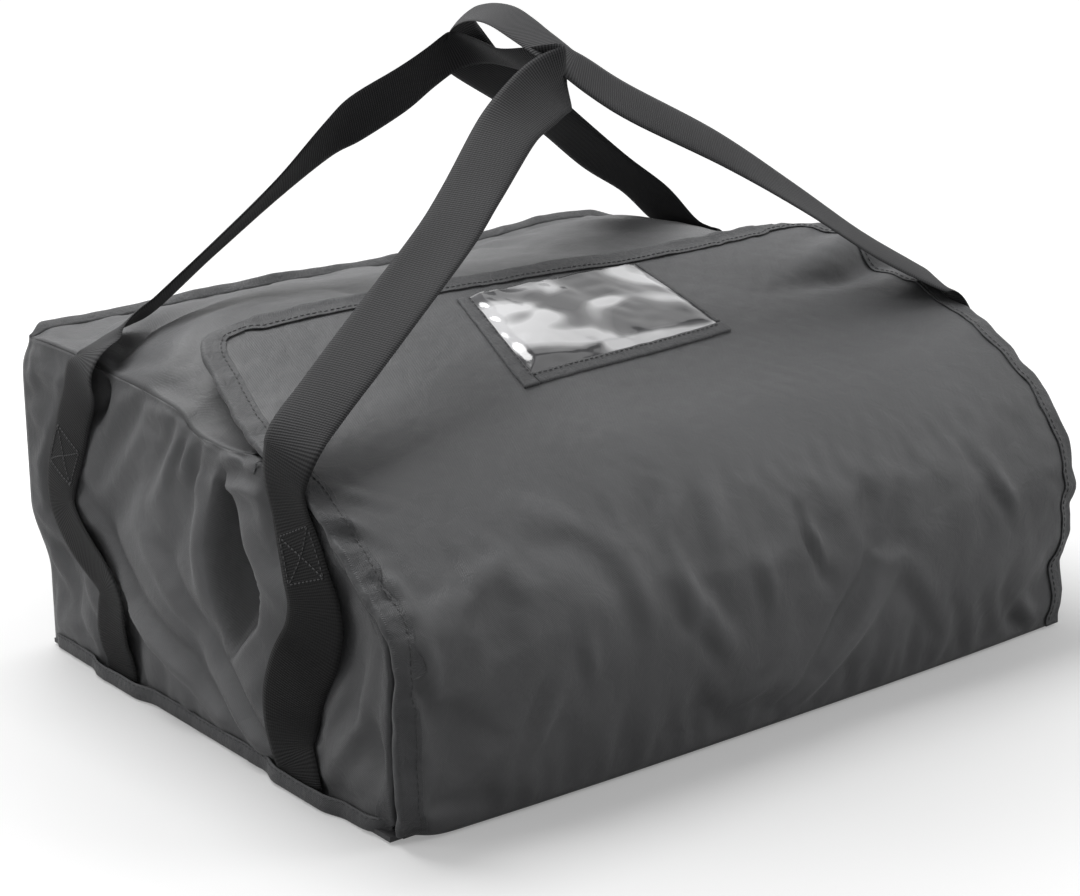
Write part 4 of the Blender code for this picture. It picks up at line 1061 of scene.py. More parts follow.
# sews a folded tape over the edge of a pad: it lies on the outer face, goes round the edge and lies on the inner face
def foldedTape(name, pad, outerEdge, innerEdge, inward, outward, width, thick, lift, seed, pucker=0.0005, bulge=0.0012):
    tree = surfaceOf(pad)
    run = np.r_[0, np.cumsum(np.linalg.norm(np.diff(outerEdge, axis=0), axis=1))]
    wave = pucker * rolling(run, run * 0, 0.011, seed) + 0.6 * pucker * rolling(run, run * 0, 0.005, seed + 1)
    tipWave = 1.6 * pucker * rolling(run, run * 0, 0.016, seed + 2)
    sections, cuts = [], []
    shares = (1.0, 0.97, 0.8, 0.6, 0.4, 0.2, 0.05)
    for i in range(len(outerEdge)):
        section = []
        for edge, side in ((outerEdge[i], 1), (innerEdge[i], -1)):
            leg = []
            for share in shares:
                guess = edge + inward[i] * width * share + outward[i] * side * 0.0035
                spot, normal, _, _ = tree.find_nearest(Vector(guess))
                normal = np.array(normal)
                if normal @ outward[i] * side < 0.2:
                    normal = outward[i] * side
                rise = lift + wave[i] * (0.4 + 0.6 * math.sin(math.pi * share)) * (1 if side > 0 else 0.5)
                leg.append((np.array(spot), normal, max(rise, 0.00015)))
            section.append(leg)
        over, under = section
        middle = (outerEdge[i] + innerEdge[i]) / 2
        half = np.linalg.norm(outerEdge[i] - innerEdge[i]) / 2 + lift
        turns = (1.1, 0.55, 0.0, -0.55, -1.1)
        tip = [middle - inward[i] * ((bulge + tipWave[i]) * math.cos(a) + 0.0003) + outward[i] * half * math.sin(a) for a in turns]
        tipDir = [-inward[i] * math.cos(a) + outward[i] * math.sin(a) for a in turns]
        low = [p + n * r for p, n, r in over] + tip + [p + n * r for p, n, r in reversed(under)]
        high = [p + n * (r + thick) for p, n, r in over] + [t + d * thick for t, d in zip(tip, tipDir)]
        high += [p + n * (r + thick) for p, n, r in reversed(under)]
        sections.append(high + low[::-1])
        flat = [s * width for s in shares] + [0.0] * 5 + [-s * width for s in reversed(shares)]
        cuts.append([(run[i], f) for f in flat + flat[::-1]])
    return loftLoop(name, np.array(sections), np.array(cuts)), np.array(sections)


# closed sections one after another, capped at both ends
def loftLoop(name, sections, cuts):
    count, size = sections.shape[:2]
    faces = []
    for i in range(count - 1):
        a, b = i * size, (i + 1) * size
        for j in range(size):
            k = (j + 1) % size
            faces.append((a + j, b + j, b + k, a + k))
    half = size // 2
    for start, flip in ((0, False), ((count - 1) * size, True)):
        for j in range(half - 1):
            quad = (start + j, start + j + 1, start + size - 2 - j, start + size - 1 - j)
            faces.append(quad[::-1] if flip else quad)
    piece = makeMesh(name, sections.reshape(-1, 3), faces, cuts.reshape(-1, 2))
    bpy.context.view_layer.objects.active = piece
    piece.select_set(True)
    bpy.ops.object.mode_set(mode="EDIT")
    bpy.ops.mesh.select_all(action="SELECT")
    bpy.ops.mesh.normals_make_consistent(inside=False)
    bpy.ops.object.mode_set(mode="OBJECT")
    piece.select_set(False)
    return piece


# edge points, the way inward and the outward normal along the front cover's two sides and its free edge
def flapRim():
    rows, columns = frontOuter.shape[:2]
    order = [(i, 0) for i in range(rows)] + [(rows - 1, j) for j in range(1, columns)]
    order += [(i, columns - 1) for i in range(rows - 2, -1, -1)]
    outer = np.array([frontOuter[i, j] for i, j in order])
    inner = np.array([frontInner[i, j] for i, j in order])
    normal = np.array([frontNormals[i, j] for i, j in order])
    outerEven = evenly(np.hstack([outer, inner, normal]), 420)
    outer, inner, normal = outerEven[:, :3], outerEven[:, 3:6], outerEven[:, 6:]
    normal /= np.linalg.norm(normal, axis=1, keepdims=True)
    tangent = np.gradient(outer, axis=0)
    for _ in range(3):
        tangent[1:-1] = (tangent[:-2] + tangent[1:-1] + tangent[2:]) / 3
        normal[1:-1] = (normal[:-2] + normal[1:-1] + normal[2:]) / 3
    tangent /= np.linalg.norm(tangent, axis=1, keepdims=True)
    inward = np.cross(tangent, normal)
    centre = outer.mean(axis=0)
    if (inward[0] @ (centre - outer[0])) < 0:
        inward = -inward
    inward /= np.linalg.norm(inward, axis=1, keepdims=True)
    return outer, inner, inward, normal


tape = {
    "width": 0.0105, "thick": 0.0007, "lift": 0.0002,
    "flapWidth": 0.0125, "flapThick": 0.0009, "flapLift": 0.0004, "flapPucker": 0.0009,
}
rimOuter, rimInner, rimInward, rimNormal = flapRim()
flapTape, flapTapeSections = foldedTape(
    "flapEdgeTape", front, rimOuter, rimInner, rimInward, rimNormal,
    tape["flapWidth"], tape["flapThick"], tape["flapLift"], 101, tape["flapPucker"])
dress(flapTape, tapeCloth)


# the front edges of the side walls
def wallEdge(outer, inner, normals, row=None, column=None, count=120):
    pick = (lambda a: a[row, :]) if row is not None else (lambda a: a[:, column])
    packed = evenly(np.hstack([pick(outer), pick(inner), pick(normals)]), count)
    edge, under, n = packed[:, :3], packed[:, 3:6], packed[:, 6:]
    n /= np.linalg.norm(n, axis=1, keepdims=True)
    tangent = np.gradient(edge, axis=0)
    tangent /= np.linalg.norm(tangent, axis=1, keepdims=True)
    inward = np.cross(tangent, n)
    middle = outer[outer.shape[0] // 2, outer.shape[1] // 2]
    if np.sum(inward @ (middle - edge.mean(axis=0))) < 0:
        inward = -inward
    return edge, under, inward / np.linalg.norm(inward, axis=1, keepdims=True), n


tapes = {}
for name, pad, args, seed in (
    ("leftSideTape", leftCover, (leftOuter, leftInner, leftNormals, None, 0), 111),
    ("rightSideTape", rightCover, (rightOuter, rightInner, rightNormals, None, 0), 121),
    ("mouthTape", topCover, (topOuter, topInner, topNormals, 0, None), 131),
):
    edge, under, inward, n = wallEdge(*args)
    piece, sections = foldedTape(name, pad, edge, under, inward, n, tape["width"], tape["thick"], tape["lift"], seed)
    tapes[name] = dress(piece, tapeCloth)


# a bound seam that stands up from the cloth: a thin folded tape along a line
def standingTape(name, line, stand, height, thick, seed, waver, count, sink=0.002):
    packed = evenly(np.hstack([line, stand]), count)
    path, up = packed[:, :3], packed[:, 3:6]
    up /= np.linalg.norm(up, axis=1, keepdims=True)
    tangent = np.gradient(path, axis=0)
    tangent /= np.linalg.norm(tangent, axis=1, keepdims=True)
    across = np.cross(tangent, up)
    across /= np.linalg.norm(across, axis=1, keepdims=True)
    run = np.r_[0, np.cumsum(np.linalg.norm(np.diff(path, axis=0), axis=1))]
    sway = waver * (rolling(run, run * 0, 0.045, seed) + 0.5 * rolling(run, run * 0, 0.017, seed + 1))
    tall = height * (1 + 0.10 * rolling(run, run * 0, 0.03, seed + 2)) * ease(0.1 + np.minimum(run, run[-1] - run) / 0.014)
    sections, cuts = [], []
    outline = [(-1.0, 0.0), (-1.05, 0.3), (-1.0, 0.6), (-0.85, 0.88), (-0.4, 1.0),
               (0.4, 1.0), (0.85, 0.88), (1.0, 0.6), (1.05, 0.3), (1.0, 0.0)]
    for i in range(len(path)):
        section = []
        for a, b in outline:
            rise = b * tall[i] - sink * (1 - b)
            section.append(path[i] + up[i] * rise + across[i] * (a * thick / 2 + sway[i] * b * b))
        sections.append(section)
        cuts.append([(run[i], a * 0.001 + b * height * (1 if a > 0 else -1)) for a, b in outline])
    return loftLoop(name, np.array(sections), np.array(cuts))


backLineTop = np.array([topOuter[-1, j] for j in range(topOuter.shape[1])])
stand = np.tile([0.0, 0.80, 0.60], (len(backLineTop), 1))
backTape = standingTape("backTopTape", backLineTop, stand, 0.0070, 0.0026, 141, 0.0020, 260)
dress(backTape, tapeCloth)

# the bottom seam runs round the two sides, the back and under the front

def bottomRun():
    r = 0.012
    points = [(-0.2752, -0.1872)]
    for (cx, cy), a0 in (((-0.2752 + r, 0.1990 - r), math.pi), ((0.2752 - r, 0.1990 - r), math.pi / 2)):
        points += [(cx + r * math.cos(a0 - t), cy + r * math.sin(a0 - t)) for t in np.linspace(0, math.pi / 2, 8)]
    points.append((0.2752, -0.1872))
    return np.array(points)


# the middles of the strap ends behind the tape
strapEnds = {"left": (-0.1075, 0.1030), "right": (-0.096, 0.134), "lift": 0.0046}


def bottomTape():
    flat = evenly(bottomRun(), 520)
    tangent = np.gradient(flat, axis=0)
    tangent /= np.linalg.norm(tangent, axis=1, keepdims=True)
    away = np.stack([-tangent[:, 1], tangent[:, 0]], axis=1)
    run = np.r_[0, np.cumsum(np.linalg.norm(np.diff(flat, axis=0), axis=1))]
    wave = 0.0006 * rolling(run, run * 0, 0.02, 151) + 0.0004 * rolling(run, run * 0, 0.008, 152)
    height = 0.0105 + 0.0008 * rolling(run, run * 0, 0.03, 153)
    outline = [(0.0004, 1.0), (0.0012, 1.02), (0.0018, 0.9), (0.0020, 0.6), (0.0024, 0.3), (0.0020, 0.12), (0.0010, 0.03),
               (-0.003, 0.02), (-0.006, 0.02), (-0.006, 0.06), (-0.001, 0.12), (0.0003, 0.3), (0.0003, 0.6), (0.0002, 0.9)]
    sections, cuts = [], []
    for i in range(len(flat)):
        section = []
        over = 0.0
        for end in (strapEnds["left"] if flat[i, 0] < 0 else strapEnds["right"]):
            if abs(tangent[i, 1]) > 0.9:
                over += strapEnds["lift"] * float(ease((0.043 - abs(flat[i, 1] - end)) / 0.021))
        endShare = float(ease(0.15 + min(run[i], run[-1] - run[i]) / 0.02))
        for off, h in outline:
            push = off * (endShare if off > 0 else 1) + (wave[i] * endShare if off > 0.001 else 0) + (over if off > -0.002 else 0)
            section.append((flat[i, 0] + away[i, 0] * push, flat[i, 1] + away[i, 1] * push, max(h * height[i], 0.0002)))
        sections.append(section)
        cuts.append([(run[i], h * 0.0105 + off) for off, h in outline])
    sections = cornerSag(np.array(sections))
    return loftLoop("bottomTape", sections, np.array(cuts)), sections


lowTape, lowTapeSections = bottomTape()
dress(lowTape, tapeCloth)


# the front edge of the base
def sillTape():
    x = np.linspace(-0.2662, 0.2662, 160)
    outline = [(-0.1787, 0.0128), (-0.184, 0.0128), (-0.1885, 0.0124), (-0.1900, 0.009), (-0.1900, 0.004), (-0.1886, 0.0008), (-0.180, 0.0005),
               (-0.180, 0.0010), (-0.1884, 0.0014), (-0.1892, 0.004), (-0.1892, 0.009), (-0.1880, 0.0117), (-0.184, 0.0120), (-0.1787, 0.0120)]
    sections, cuts = [], []
    for xi in x:
        wave = 0.0004 * float(rolling(np.array(xi), np.array(0.0), 0.02, 161))
        sections.append([(xi, y - abs(wave), z) for y, z in outline])
        cuts.append([(xi, y + z) for y, z in outline])
    return loftLoop("sillTape", np.array(sections), np.array(cuts))


sill = dress(sillTape(), tapeCloth)


print("bag: webbing")
# the least distance from the strap's inner face to the cover under it, and the way off it:
# the side's cover low down, those of the top above
def clearances(covers, centre, way, out, share, half, thick):
    side, top = covers
    gaps, offs = np.full(len(centre), 1.0), np.zeros((len(centre), 3))
    for i in range(len(centre)):
        if abs(centre[i, 0]) > 0.262 and centre[i, 2] < (0.180 if centre[i, 0] < 0 else 0.203):
            trees = side
        elif abs(centre[i, 0]) < 0.255 and centre[i, 2] > 0.2:
            trees = top
        else:
            continue
        for a in (-1.0, -0.6, -0.2, 0.2, 0.6, 1.0):
            spot = Vector(centre[i] + way[i] * a * half * share[i] - out[i] * thick)
            for tree in trees:
                hit, normal, _, far = tree.find_nearest(spot, 0.03)
                if hit is None:
                    continue
                gap = (spot - hit).dot(normal)
                # a place past a cover's edge isn't under it
                if far > 0.002 and abs(gap) < 0.85 * far:
                    continue
                if gap < gaps[i]:
                    gaps[i], offs[i] = gap, np.array(normal)
    return gaps, offs


# a flat strap along its stations; keeps its frames so that stitches can be laid on it
# of two sets of moves, the longer one at each place
def longer(a, b):
    return np.where(np.linalg.norm(a, axis=1, keepdims=True) > np.linalg.norm(b, axis=1, keepdims=True), a, b)


def ribbon(name, stations, cut, covers):
    at, centre, way, out, share = strapLine(stations, cut)
    count = len(at)
    half, thick = cut["width"] / 2, cut["thick"] / 2
    for _ in range(3):
        gaps, offs = clearances(covers, centre, way, out, share, half, thick)
        offs[centre[:, 2] < 0.1, 2] = 0
        # sewn down near the floor, loose above
        sewn = ease((0.078 - centre[:, 2]) / 0.03)
        push = np.where(gaps < cut["clear"], cut["clear"] - gaps, (cut["clear"] - gaps) * sewn)
        push = np.where(gaps > 0.02, 0, push)
        moved = offs * push[:, None]
        wide = moved.copy()
        for k in range(1, 4):
            wide[k:] = longer(wide[k:], moved[:-k])
            wide[:-k] = longer(wide[:-k], moved[k:])
        for _ in range(6):
            wide[1:-1] = (wide[:-2] + 2 * wide[1:-1] + wide[2:]) / 4
        centre = centre + wide
    across = np.linspace(-1, 1, 13)
    edgeRound = np.sqrt(np.clip(1 - np.abs(across) ** 10, 0.02, 1))
    outline = [(a, e) for a, e in zip(across, edgeRound)] + [(a, -e) for a, e in zip(across[::-1], edgeRound[::-1])]
    sections, cuts = [], []
    for i in range(count):
        bow = 0.0009 * math.sin(at[i] * 31) + 0.0016 * (1 - share[i]) * 6
        section = [centre[i] + way[i] * a * half * share[i] + out[i] * (e * thick + bow * (0.4 - a * a)) for a, e in outline]
        for spot in section:
            spot[2] = max(spot[2], 0.0024)
        sections.append(section)
        cuts.append([(at[i], a * half) for a, e in outline])
    piece = loftLoop(name, np.array(sections), np.array(cuts))
    return piece, (at, centre, way, out, share)


def outerFace(grid, out):
    points, faces = grid.reshape(-1, 3), gridFaces(*grid.shape[:2])
    tree = BVHTree.FromPolygons([Vector(p) for p in points], [tuple(map(int, f)) for f in faces])
    middle = Vector(grid[grid.shape[0] // 2, grid.shape[1] // 2])
    if tree.find_nearest(middle)[1].dot(Vector(out)) < 0:
        tree = BVHTree.FromPolygons([Vector(p) for p in points], [tuple(map(int, f[::-1])) for f in faces])
    return tree


topFace, flapFace = outerFace(topOuter, (0, 0, 1)), outerFace(frontOuter, (0, -0.7, 0.7))
leftWebbing, leftFrames = ribbon("leftWebbing", leftRun, strap, ([outerFace(leftOuter, (-1, 0, 0))], [topFace, flapFace]))
rightWebbing, rightFrames = ribbon("rightWebbing", rightRun, strap, ([outerFace(rightOuter, (1, 0, 0))], [topFace, flapFace]))
for piece in (leftWebbing, rightWebbing):
    dress(piece, webbing)


print("bag: stitches")


# short threads between pairs of points, each a slim six-sided bead with closed ends
def threadRun(name, pairs, normals, radius=0.00042):
    points, faces = [], []
    for (a, b), n in zip(pairs, normals):
        a, b, n = np.array(a), np.array(b), np.array(n)
        along = b - a
        size = np.linalg.norm(along)
        along /= size
        side = np.cross(along, n)
        side /= np.linalg.norm(side)
        n = np.cross(side, along)
        start = len(points)
        rings = ((0.0, 0.35, 0.0), (0.22, 1.0, 0.35), (0.78, 1.0, 0.35), (1.0, 0.35, 0.0))
        for t, r, lift in rings:
            middle = a + along * size * t + n * radius * lift
            for k in range(6):
                angle = k * math.pi / 3
                points.append(middle + (side * math.cos(angle) + n * math.sin(angle)) * radius * r)
        for ring in range(3):
            for k in range(6):
                p, q = start + ring * 6 + k, start + ring * 6 + (k + 1) % 6
                faces.append((p, q, q + 6, p + 6))
        faces.append(tuple(start + k for k in range(5, -1, -1)))
        faces.append(tuple(start + 18 + k for k in range(6)))
    return makeMesh(name, points, faces)


# pieces of thread along a line of points, with the normal at each point
def dashes(line, normals, length=0.0028, gap=0.0014):
    steps = np.r_[0, np.cumsum(np.linalg.norm(np.diff(line, axis=0), axis=1))]
    pick = lambda t, data: np.array([np.interp(t, steps, data[:, k]) for k in range(3)])
    pairs, outs = [], []
    t = gap
    while t + length < steps[-1]:
        pairs.append((pick(t, line), pick(t + length, line)))
        outs.append(pick(t + length / 2, normals))
        t += length + gap
    return pairs, outs


# a box with a cross sewn through a strap, centred at a height on its way up or down
def boxCross(name, frames, height, rising, width=0.030, tall=0.028):
    at, centre, way, out = frames[:4]
    half = len(at) // 2
    span = slice(0, half) if rising else slice(half, len(at))
    k = int(np.argmin(np.abs(centre[span, 2] - height))) + (0 if rising else half)
    middle = at[k]

    def spot(a, b):
        t = middle + b
        c = np.array([np.interp(t, at, centre[:, i]) for i in range(3)])
        w = np.array([np.interp(t, at, way[:, i]) for i in range(3)])
        o = np.array([np.interp(t, at, out[:, i]) for i in range(3)])
        bow = 0.0009 * math.sin(t * 31)
        return c + w * a + o * (strap["thick"] / 2 + bow * (0.4 - (a / (strap["width"] / 2)) ** 2) + 0.0001), o

    w, h = width / 2, tall / 2
    pairs, outs = [], []
    lowLeft, lowRight, topRight, topLeft = (-w, -h), (w, -h), (w, h), (-w, h)
    box = (lowLeft, lowRight), (lowRight, topRight), (topRight, topLeft), (topLeft, lowLeft)
    cross = (lowLeft, topRight), (lowRight, topLeft)
    for (a0, b0), (a1, b1) in box + cross:
        spots = [spot(a0 + (a1 - a0) * t, b0 + (b1 - b0) * t) for t in np.linspace(0, 1, 24)]
        p, o = dashes(np.array([s[0] for s in spots]), np.array([s[1] for s in spots]), 0.0022, 0.0011)
        pairs += p
        outs += o
    return dress(threadRun(name, pairs, outs), threadMaterial)


boxes = {
    "leftFrontBox": boxCross("leftFrontBox", leftFrames, 0.145, True),
    "leftRearBox": boxCross("leftRearBox", leftFrames, 0.145, False),
    "rightFrontBox": boxCross("rightFrontBox", rightFrames, 0.145, True),
    "rightRearBox": boxCross("rightRearBox", rightFrames, 0.145, False),
}


print("bag: pocket and closure")
pocket = {
    # corners: across the flap, and below its free edge along the cloth
    "topLeft": (-0.0767, 0.0240), "topRight": (0.0825, 0.0170), "lowLeft": (-0.0960, 0.1240), "lowRight": (0.0880, 0.1085),
    "width": 0.168, "length": 0.097, "border": 0.0112, "thinBorder": 0.0034,
}


# places on the flap's outer face by the two measures of its flat cut
def onFlap(x, s):
    row = np.interp(s, frontAlong, np.arange(len(frontAlong)))
    i = int(min(row, len(frontAlong) - 2))
    f = row - i
    spots = []
    for r in (i, i + 1):
        line = frontOuter[r]
        spot = np.array([np.interp(x, line[:, 0], line[:, k]) for k in range(3)])
        spots.append((spot, np.array([np.interp(x, line[:, 0], frontNormals[r][:, k]) for k in range(3)])))
    p = spots[0][0] * (1 - f) + spots[1][0] * f
    n = spots[0][1] * (1 - f) + spots[1][1] * f
    return p, n / np.linalg.norm(n)


# shares of the pocket's width and length, from its bottom left, as places on the flap
def pocketPlace(a, b):
    corners = [np.array(pocket[k]) for k in ("lowLeft", "lowRight", "topLeft", "topRight")]
    x, below = [(c0 * (1 - a) + c1 * a) * (1 - b) + (c2 * (1 - a) + c3 * a) * b for c0, c1, c2, c3 in zip(*corners)]
    return x, frontAlong[-1] - below


def pocketFilm():
    rows, columns = 64, 92
    outer, inner, flat = np.zeros((rows, columns, 3)), np.zeros((rows, columns, 3)), np.zeros((rows, columns, 2))
    a, b = np.meshgrid(np.linspace(0.03, 0.992, columns), np.linspace(0.05, 1.0, rows))
    x, s = pocketPlace(a, b)
    rim = np.minimum(np.minimum(a * pocket["width"] - 0.008, (1 - a) * pocket["width"]), b * pocket["length"] - 0.008)
    free = ease(rim / 0.014)
    waves = 0.0020 * rolling(x * 1.1 + s * 0.5, s * 0.55 - x * 0.3, 0.048, 171) + 0.0004 * rolling(x + s * 0.6, s * 0.8, 0.022, 172)
    lift = np.maximum(0.0006 + free * (0.0022 + waves), 0.0004)
    for i in range(rows):
        for j in range(columns):
            p, n = onFlap(x[i, j], s[i, j])
            outer[i, j] = p + n * lift[i, j]
            inner[i, j] = p + n * (lift[i, j] - 0.0003)
            flat[i, j] = (x[i, j], s[i, j])
    return closedPad("pocketFilm", outer, inner, flat, None, flip=False)


# one side of the pocket's border: a flat tape with rounded edges from one share of the pocket to another
def pocketTape(name, start, end, width, inward, seed):
    count = 60
    section = ((0.0, 0.0002), (0.02, 0.0012), (0.12, 0.0016), (0.35, 0.0017), (0.65, 0.0017), (0.88, 0.0016), (0.98, 0.0012), (1.0, 0.0002))
    sections, cuts = [], []
    wide, long = pocket["width"], pocket["length"]
    run = math.dist((start[0] * wide, start[1] * long), (end[0] * wide, end[1] * long))
    for t in np.linspace(0, 1, count):
        a, b = start[0] + (end[0] - start[0]) * t, start[1] + (end[1] - start[1]) * t
        ring, cut, low = [], [], []
        for share, rise in section:
            x, s = pocketPlace(a + inward[0] * share * width / wide, b + inward[1] * share * width / long)
            p, n = onFlap(x, s)
            pucker = 0.0004 * float(rolling(np.array(t * run), np.array(share * 0.006), 0.008, seed)) * math.sin(math.pi * share)
            ring.append(p + n * (rise + pucker + 0.0002 * (share > 0) * (share < 1)))
            cut.append((t * run, share * width))
            low.append(p + n * 0.0001)
        sections.append(ring + low[::-1])
        cuts.append(cut + cut[::-1])
    return loftLoop(name, np.array(sections), np.array(cuts))


def joined(name, pieces):
    bpy.ops.object.select_all(action="DESELECT")
    for piece in pieces:
        piece.select_set(True)
    bpy.context.view_layer.objects.active = pieces[0]
    bpy.ops.object.join()
    pieces[0].name = name
    pieces[0].select_set(False)
    return pieces[0]


pocketWindow = dress(pocketFilm(), film)
sideShare, endShare = pocket["border"] / pocket["width"], pocket["border"] / pocket["length"]
pocketFrame = dress(joined("pocketTape", [
    pocketTape("pocketTapeLeft", (0.0, 1.0), (0.0, 0.0), pocket["border"], (1, 0), 181),
    pocketTape("pocketTapeNear", (sideShare, 0.0), (1.0, 0.0), pocket["border"], (0, 1), 183),
    pocketTape("pocketTapeRight", (1.0, endShare), (1.0, 1.0), pocket["thinBorder"], (-1, 0), 185),
]), tapeCloth)


# the two closing tapes, one under the flap and one on the top
def closingTape(name, node, grid, normals, lift, side):
    (x0, y0, _), (x1, y1, _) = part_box(node)
    rows, columns = 12, 120
    middle = grid[:, grid.shape[1] // 2]
    outer, inner = np.zeros((rows, columns, 3)), np.zeros((rows, columns, 3))
    flat = np.zeros((rows, columns, 2))
    for i, y in enumerate(np.linspace(y0, y1, rows)):
        row = int(np.argmin(np.abs(middle[:, 1] - y)))
        line, ns = grid[row], normals[row]
        for j, x in enumerate(np.linspace(x0, x1, columns)):
            p = np.array([x, y, np.interp(x, line[:, 0], line[:, 2])])
            n = np.array([np.interp(x, line[:, 0], ns[:, k]) for k in range(3)]) * side
            outer[i, j] = p + n * (lift + 0.0013)
            inner[i, j] = p + n * lift
            flat[i, j] = (x, y)
    return closedPad(name, outer, inner, flat, None, flip=side < 0)


loopPiece = dress(closingTape("loopTape", "loop_tape", topOuter, topNormals, 0.0, 1), hookMaterial)
hookPiece = dress(closingTape("hookTape", "hook_tape", frontInner, frontNormals, 0.0008, -1), hookMaterial)


# a row of stitches along a line of points
def seamThreads(name, line, normals, spacing=0.0030, radius=0.00034):
    p, o = dashes(line, normals, spacing, 0.0014)
    return dress(threadRun(name, p, o, radius), threadMaterial)


flapLine = flapTapeSections[:, 2] * 0.75 + flapTapeSections[:, 3] * 0.25
flapStitches = seamThreads("flapStitching", flapLine + rimNormal * 0.0001, rimNormal)
lowLine = lowTapeSections[:, 2]
lowOut = np.stack([np.gradient(lowLine[:, 1]), -np.gradient(lowLine[:, 0]), lowLine[:, 0] * 0], axis=1)
lowOut /= np.maximum(np.linalg.norm(lowOut, axis=1, keepdims=True), 1e-12)
lowOut *= np.sign(np.sum(lowOut[:, :2] * lowLine[:, :2], axis=1))[:, None]
lowStitches = seamThreads("bottomStitching", lowLine + lowOut * 0.0001, lowOut)
pocketLine = []
for a, b in ((0.055, 1.0), (0.055, 0.085), (0.99, 0.085)):
    pocketLine.append((a, b))
pocketSpots = [pocketPlace(a, b) for a, b in evenly(np.array(pocketLine), 90)]
pocketSpots = [onFlap(x, s) for x, s in pocketSpots]
pocketNormals = np.array([n for p, n in pocketSpots])
pocketStitches = seamThreads("pocketStitching", np.array([p for p, n in pocketSpots]) + pocketNormals * 0.0022, pocketNormals)
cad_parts["base_board"].data.materials.clear()
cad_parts["base_board"].data.materials.append(boardMaterial)


print("bag: what moves with what")
for piece, nodes in (
    (front, ("front_cover", "front_foam", "flap_cover", "flap_foam")),
    (frontLining, ("front_liner", "flap_liner")),
    (flapTape, ("flap_binding", "front_binding_left", "front_binding_right")),
):
    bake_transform(piece)
    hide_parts(*nodes)
for piece, nodes in (
    (leftCover, ("left_side_cover", "left_side_foam")),
    (leftLining, ("left_side_liner",)),
    (rightCover, ("right_side_cover", "right_side_foam")),
    (rightLining, ("right_side_liner",)),
    (topCover, ("top_cover", "top_foam")),
    (topLining, ("top_liner",)),
    (backCover, ("back_cover", "back_foam")),
    (backLining, ("back_liner",)),
    (baseCover, ("base_cover", "base_foam")),
    (baseLining, ("base_liner",)),
    (tapes["leftSideTape"], ("left_side_binding",)),
    (tapes["rightSideTape"], ("right_side_binding",)),
    (tapes["mouthTape"], ("mouth_binding",)),
    (backTape, ("back_binding",)),
    (lowTape, ("bottom_binding",)),
    (sill, ("sill_binding",)),
    (loopPiece, ("loop_tape",)),
    (boxes["leftFrontBox"], ("left_front_stitch",)),
    (boxes["leftRearBox"], ("left_rear_stitch",)),
    (boxes["rightFrontBox"], ("right_front_stitch",)),
    (boxes["rightRearBox"], ("right_rear_stitch",)),
):
    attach(piece, "bag")
    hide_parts(*nodes)
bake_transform(flapStitches)
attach(lowStitches, "bag")
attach(pocketStitches, "top_flap")
for piece, nodes in ((pocketWindow, ("pocket_window",)), (pocketFrame, ("pocket_border",)), (hookPiece, ("hook_tape",))):
    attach(piece, "top_flap")
    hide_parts(*nodes)
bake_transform(leftWebbing)
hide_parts("left_front_strap", "left_rear_strap", "left_handle_front_leg", "left_handle_grip", "left_handle_rear_leg")
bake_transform(rightWebbing)
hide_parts("right_front_strap", "right_rear_strap", "right_handle_front_leg", "right_handle_grip", "right_handle_rear_leg")

print("bag: room, light and camera")
bpy.ops.mesh.primitive_plane_add(size=60, location=(0, 0, -0.0002))
floor = bpy.context.object
floor.name = "floor"

room = {
    "floor": 0.56, "nearGlow": 0.24, "middleGlow": 0.60, "farGlow": 0.85, "daylight": 0.27,
    # place, aim, size, power
    "lamps": {
        "overhead": ((-0.20, 0.62, 1.7), (0.0, 0.0, 0.1), 1.0, 29.0),
        "leftSoft": ((-1.9, 0.8, 0.8), (-0.2, 0.05, 0.12), 0.9, 8.0),
        "frontSoft": ((1.5, -1.3, 1.4), (0.05, -0.1, 0.15), 0.9, 11.0),
    },
}


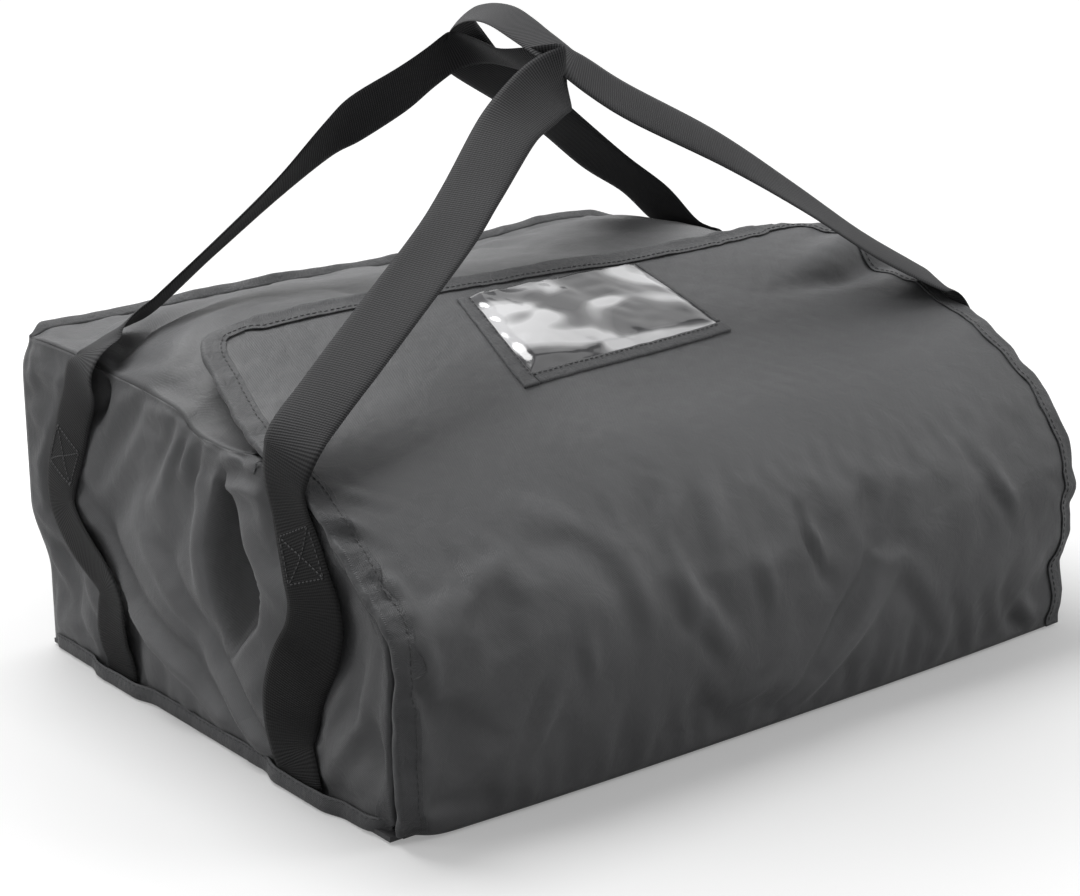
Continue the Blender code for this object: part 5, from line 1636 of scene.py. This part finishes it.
# a pale floor that the camera sees go white away from the bag
def floorMaterial():
    material, nodes, links, shader = newMaterial("paleFloor")
    place = nodes.new("ShaderNodeTexCoord")
    grain = addNode(nodes, "ShaderNodeTexNoise", Scale=3.0, Detail=3.0)
    links.new(place.outputs["Object"], grain.inputs["Vector"])
    tones = addNode(nodes, "ShaderNodeValToRGB")
    tones.color_ramp.elements[0].color = (room["floor"] - 0.01,) * 3 + (1,)
    tones.color_ramp.elements[1].color = (room["floor"] + 0.01,) * 3 + (1,)
    links.new(grain.outputs["Fac"], tones.inputs[0])
    links.new(tones.outputs[0], shader.inputs["Base Color"])
    shader.inputs["Roughness"].default_value = 0.9
    shader.inputs["Specular IOR Level"].default_value = 0.1
    away = addNode(nodes, "ShaderNodeVectorMath", operation="LENGTH")
    links.new(place.outputs["Object"], away.inputs[0])
    near = addNode(nodes, "ShaderNodeMapRange", interpolation_type="SMOOTHSTEP")
    near.inputs["From Min"].default_value, near.inputs["From Max"].default_value = 0.26, 0.62
    near.inputs["To Min"].default_value, near.inputs["To Max"].default_value = room["nearGlow"], room["middleGlow"]
    links.new(away.outputs["Value"], near.inputs["Value"])
    far = addNode(nodes, "ShaderNodeMapRange", interpolation_type="SMOOTHSTEP")
    far.inputs["From Min"].default_value, far.inputs["From Max"].default_value = 0.8, 3.0
    far.inputs["To Max"].default_value = room["farGlow"] - room["middleGlow"]
    links.new(away.outputs["Value"], far.inputs["Value"])
    both = addNode(nodes, "ShaderNodeMath", operation="ADD")
    links.new(near.outputs[0], both.inputs[0])
    links.new(far.outputs[0], both.inputs[1])
    path = nodes.new("ShaderNodeLightPath")
    seen = addNode(nodes, "ShaderNodeMath", operation="MULTIPLY")
    links.new(both.outputs[0], seen.inputs[0])
    links.new(path.outputs["Is Camera Ray"], seen.inputs[1])
    shader.inputs["Emission Color"].default_value = (1, 1, 1, 1)
    links.new(seen.outputs[0], shader.inputs["Emission Strength"])
    return material


floor.data.materials.append(floorMaterial())

world = bpy.data.worlds.new("studio")
bpy.context.scene.world = world
world.use_nodes = True
nodes, links = world.node_tree.nodes, world.node_tree.links
nodes.clear()
output = nodes.new("ShaderNodeOutputWorld")
seen = addNode(nodes, "ShaderNodeBackground", Strength=1.0)
seen.inputs["Color"].default_value = (1, 1, 1, 1)
soft = addNode(nodes, "ShaderNodeBackground", Strength=room["daylight"])
soft.inputs["Color"].default_value = (1, 1, 1, 1)
path = nodes.new("ShaderNodeLightPath")
choose = nodes.new("ShaderNodeMixShader")
mirrored = addNode(nodes, "ShaderNodeMath", operation="MAXIMUM")
links.new(path.outputs["Is Camera Ray"], mirrored.inputs[0])
links.new(path.outputs["Is Glossy Ray"], mirrored.inputs[1])
links.new(mirrored.outputs[0], choose.inputs[0])
links.new(soft.outputs[0], choose.inputs[1])
links.new(seen.outputs[0], choose.inputs[2])
links.new(choose.outputs[0], output.inputs["Surface"])

for name, (place, aim, size, power) in room["lamps"].items():
    light = bpy.data.lights.new(name, "AREA")
    light.shape, light.size, light.energy = "SQUARE", size, power
    lamp = bpy.data.objects.new(name, light)
    bpy.context.scene.collection.objects.link(lamp)
    lamp.location = place
    lamp.rotation_euler = (Vector(aim) - Vector(place)).to_track_quat("-Z", "Y").to_euler()

view = {"azimuth": -39.07, "elevation": 15.608, "place": (-0.8735, -1.0531, 0.5133), "lens": 71.54}
cameraData = bpy.data.cameras.new("photoView")
cameraData.lens, cameraData.sensor_width = view["lens"], 36
cameraData.clip_start, cameraData.clip_end = 0.05, 50
camera = bpy.data.objects.new("photoView", cameraData)
bpy.context.scene.collection.objects.link(camera)
turn, tilt = math.radians(view["azimuth"]), math.radians(view["elevation"])
back = Vector((math.sin(turn) * math.cos(tilt), -math.cos(turn) * math.cos(tilt), math.sin(tilt)))
camera.location = view["place"]
camera.rotation_euler = (-back).to_track_quat("-Z", "Y").to_euler()
bpy.context.scene.camera = camera
bpy.context.scene.view_settings.view_transform = "Standard"

print("bag: done")
